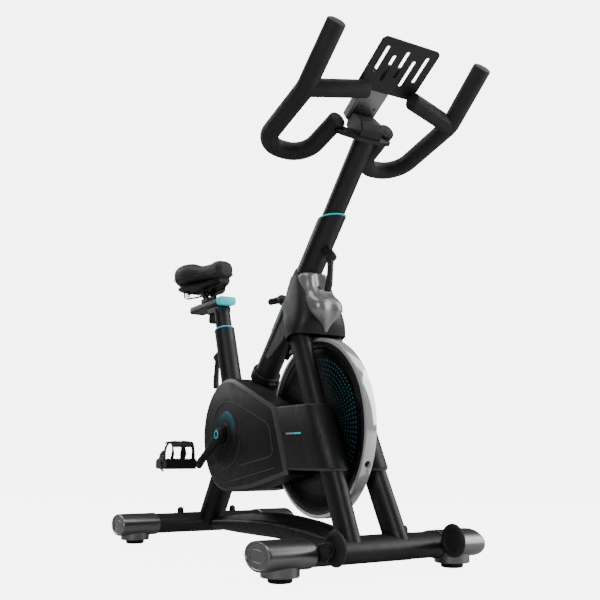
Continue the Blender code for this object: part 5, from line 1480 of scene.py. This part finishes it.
def build_pad():
    pad = mesh_object("saddle_cushion", solid(pad_rows()), LEATHER)
    remesh = pad.modifiers.new("even", "REMESH")
    remesh.mode = "VOXEL"
    remesh.voxel_size = 0.0045
    carve(pad)
    pad.data.materials.clear()
    pad.data.materials.append(LEATHER)
    before = [v.co.copy() for v in pad.data.vertices]
    held = pad.vertex_groups.new(name="held")
    held.add([v.index for v in pad.data.vertices if v.co.z < 0.876], 1.0, "REPLACE")
    cloth = pad.modifiers.new("padding", "CLOTH")
    settings = cloth.settings
    settings.use_pressure = True
    settings.uniform_pressure_force = 4.0
    settings.effector_weights.gravity = 0.0
    settings.vertex_group_mass = "held"
    settings.tension_stiffness = 18
    settings.compression_stiffness = 18
    settings.bending_stiffness = 3
    cloth.point_cache.frame_start = 1
    cloth.point_cache.frame_end = 20
    scene = bpy.context.scene
    for step in range(1, 21):
        scene.frame_set(step)
    graph = bpy.context.evaluated_depsgraph_get()
    swollen = bpy.data.meshes.new_from_object(pad.evaluated_get(graph))
    pad.modifiers.clear()
    for vertex, start in zip(swollen.vertices, before):
        move = vertex.co - start
        if move.length > PAD_SWELL:
            vertex.co = start + move.normalized() * PAD_SWELL
    pad.data = swollen
    scene.frame_set(1)
    pad.data.shade_smooth()
    smooth = pad.modifiers.new("smooth", "SUBSURF")
    smooth.levels = 1
    smooth.render_levels = 1
    show(pad, "saddle", "saddle_pad")
    # the seam that runs round the pad above its skirt
    line = []
    for x, half, low, high in curve_through(PAD[1:-1], 4):
        line.append((x, half, low + (high - low) * 0.30))
    loop = [Vector((x, -half * 0.975, z)) for x, half, z in line]
    loop += [Vector((x, half * 0.975, z)) for x, half, z in reversed(line)]
    rows = []
    for i, point in enumerate(loop):
        way = (loop[(i + 1) % len(loop)] - loop[i - 1]).normalized()
        side = way.cross(Z).normalized()
        rows.append(ring(point, side, way.cross(side), 0.0014, count=10))
    show(mesh_object("saddle_piping", solid(rows, True), LEATHER), "saddle")


def build_saddle_under():
    pan_rows = []
    stations = [(-0.645, 0.058, 0.850, 0.870), (-0.620, 0.078, 0.848, 0.868), (-0.585, 0.083, 0.848, 0.867),
                (-0.545, 0.073, 0.848, 0.867), (-0.505, 0.055, 0.848, 0.868), (-0.465, 0.041, 0.849, 0.868),
                (-0.425, 0.031, 0.850, 0.868), (-0.398, 0.021, 0.852, 0.870)]
    for x, half, low, high in curve_through(stations, 4):
        middle = Vector((x, 0, (low + high) / 2))
        pan_rows.append(ring(middle, Y, Z, half, (high - low) / 2, 64, 3.2))
    show(mesh_object("saddle_shell", solid(pan_rows), PLASTIC), "saddle", "saddle_base")
    for name, side in SIDES.items():
        y = 0.020 * side
        path = corners([Vector((-0.412, y * 0.6, 0.853)), Vector((-0.440, y, 0.842)),
                        Vector((-0.590, y, 0.842)), Vector((-0.625, y * 1.8, 0.852))], [0.02, 0.02], 8)
        show(sweep("saddle_rail_" + name, path, 0.0035, DARK_STEEL, count=24), "saddle")
        # the coil spring under each rear wing
        coil = []
        for step in range(97):
            turn = 2 * math.pi * 4 * step / 96
            coil.append(Vector((-0.612 + 0.011 * math.cos(turn), 0.046 * side + 0.011 * math.sin(turn),
                                0.826 + 0.026 * step / 96)))
        show(sweep("saddle_spring_" + name, coil, 0.0019, DARK_STEEL, count=12), "saddle")
        arm = corners([Vector((-0.5175, 0.020 * side, 0.824)), Vector((-0.560, 0.030 * side, 0.824)),
                       Vector((-0.612, 0.046 * side, 0.825))], [0.02], 6)
        show(sweep("spring_arm_" + name, arm, 0.0032, DARK_STEEL, count=20), "saddle")


# ---- everything -----------------------------------------------------------------------
build_sleeves()
build_strut()
build_fork()
build_stabilisers()
build_base_rail()
build_feet()
build_transport_wheels()
build_hood()
build_trim()
build_side_panel()
build_collar()
build_lever("mast_clamp", "mast_clamp_lever", "mast_lever", MAST_POINT, MAST_ACROSS, 0.092, 0.078,
            0.26)
build_lever("seat_clamp", "seat_clamp_lever", "seat_lever", SEAT_POINT, SEAT_ACROSS, 0.104, 0.084,
            0.02)
build_brake()
build_covers()
build_leg_boxes()
build_flywheel()
build_cranks()
build_pedals()
build_mast()
build_bars()
build_bar_bracket()
build_console()
build_seat_post()
build_slide()
build_pad()
build_saddle_under()

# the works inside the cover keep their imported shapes
for node, material in (("drive_belt", RUBBER), ("crank_pulley", STEEL), ("flywheel_pulley", STEEL),
                       ("crank_axle", STEEL), ("bottom_bracket", PAINT)):
    mesh = frame["nodes"][node].data
    mesh.materials.clear()
    mesh.materials.append(material)

# ---- camera, light and floor ----------------------------------------------------------
scene = bpy.context.scene
FORWARD, PITCH = Vector((-0.8571, 0.5151, 0.0)), math.radians(10.84)
camera = bpy.data.objects.new("camera", bpy.data.cameras.new("camera"))
scene.collection.objects.link(camera)
scene.camera = camera
camera.location = (2.055, -1.153, 0.275)
aim = FORWARD * math.cos(PITCH) + Z * math.sin(PITCH)
camera.rotation_euler = aim.to_track_quat("-Z", "Y").to_euler()
camera.data.lens = 48.48
camera.data.sensor_width = 36.0
camera.data.shift_x = -0.0085
camera.data.clip_end = 60.0


def area_light(name, location, target, size, power):
    light = bpy.data.lights.new(name, "AREA")
    light.shape = "RECTANGLE"
    light.size, light.size_y = size
    light.energy = power
    made = bpy.data.objects.new(name, light)
    made.location = location
    made.rotation_euler = (Vector(target) - Vector(location)).to_track_quat("-Z", "Y").to_euler()
    scene.collection.objects.link(made)
    return made


area_light("key", (2.6, -3.4, 2.4), (0, 0, 0.6), (1.0, 2.4), 60)
area_light("left_wall", (1.9, 2.7, 1.9), (0.2, 0, 0.5), (2.4, 3.2), 90)
area_light("rear_rim", (-3.2, -0.9, 2.4), (-0.2, 0, 0.5), (0.8, 2.4), 35)
area_light("top", (-0.2, -0.4, 3.4), (0, 0, 0.4), (1.6, 1.6), 22)
area_light("rim_strip", (0.5, 1.8, 2.5), (0.2, 0, 0.35), (1.2, 3.4), 24)


def seen_and_lit(tree, seen, lit):
    """A surface or a sky that looks white to the eye and still throws little light itself."""
    path = tree.nodes.new("ShaderNodeLightPath")
    strength = tree.nodes.new("ShaderNodeMapRange")
    strength.inputs["To Min"].default_value = lit
    strength.inputs["To Max"].default_value = seen
    tree.links.new(path.outputs["Is Camera Ray"], strength.inputs["Value"])
    return strength.outputs["Result"]


world = bpy.data.worlds.new("studio")
scene.world = world
world.use_nodes = True
sky = world.node_tree.nodes["Background"]
sky.inputs["Color"].default_value = (1, 1, 1, 1)
world.node_tree.links.new(seen_and_lit(world.node_tree, 6.0, 0.07), sky.inputs["Strength"])

floor_mesh = bpy.data.meshes.new("floor")
bm = bmesh.new()
bmesh.ops.create_grid(bm, x_segments=1, y_segments=1, size=12.0)
bm.to_mesh(floor_mesh)
bm.free()
floor = bpy.data.objects.new("floor", floor_mesh)
scene.collection.objects.link(floor)
floor.location.z = -0.0005
floor_material = new_material("studio_floor", (0.60, 0.60, 0.60), 0.60)
shader = floor_material.node_tree.nodes["Principled BSDF"]
shader.inputs["Emission Color"].default_value = (1, 1, 1, 1)
floor_material.node_tree.links.new(seen_and_lit(floor_material.node_tree, 6.0, 0.0),
                                   shader.inputs["Emission Strength"])
floor_mesh.materials.append(floor_material)
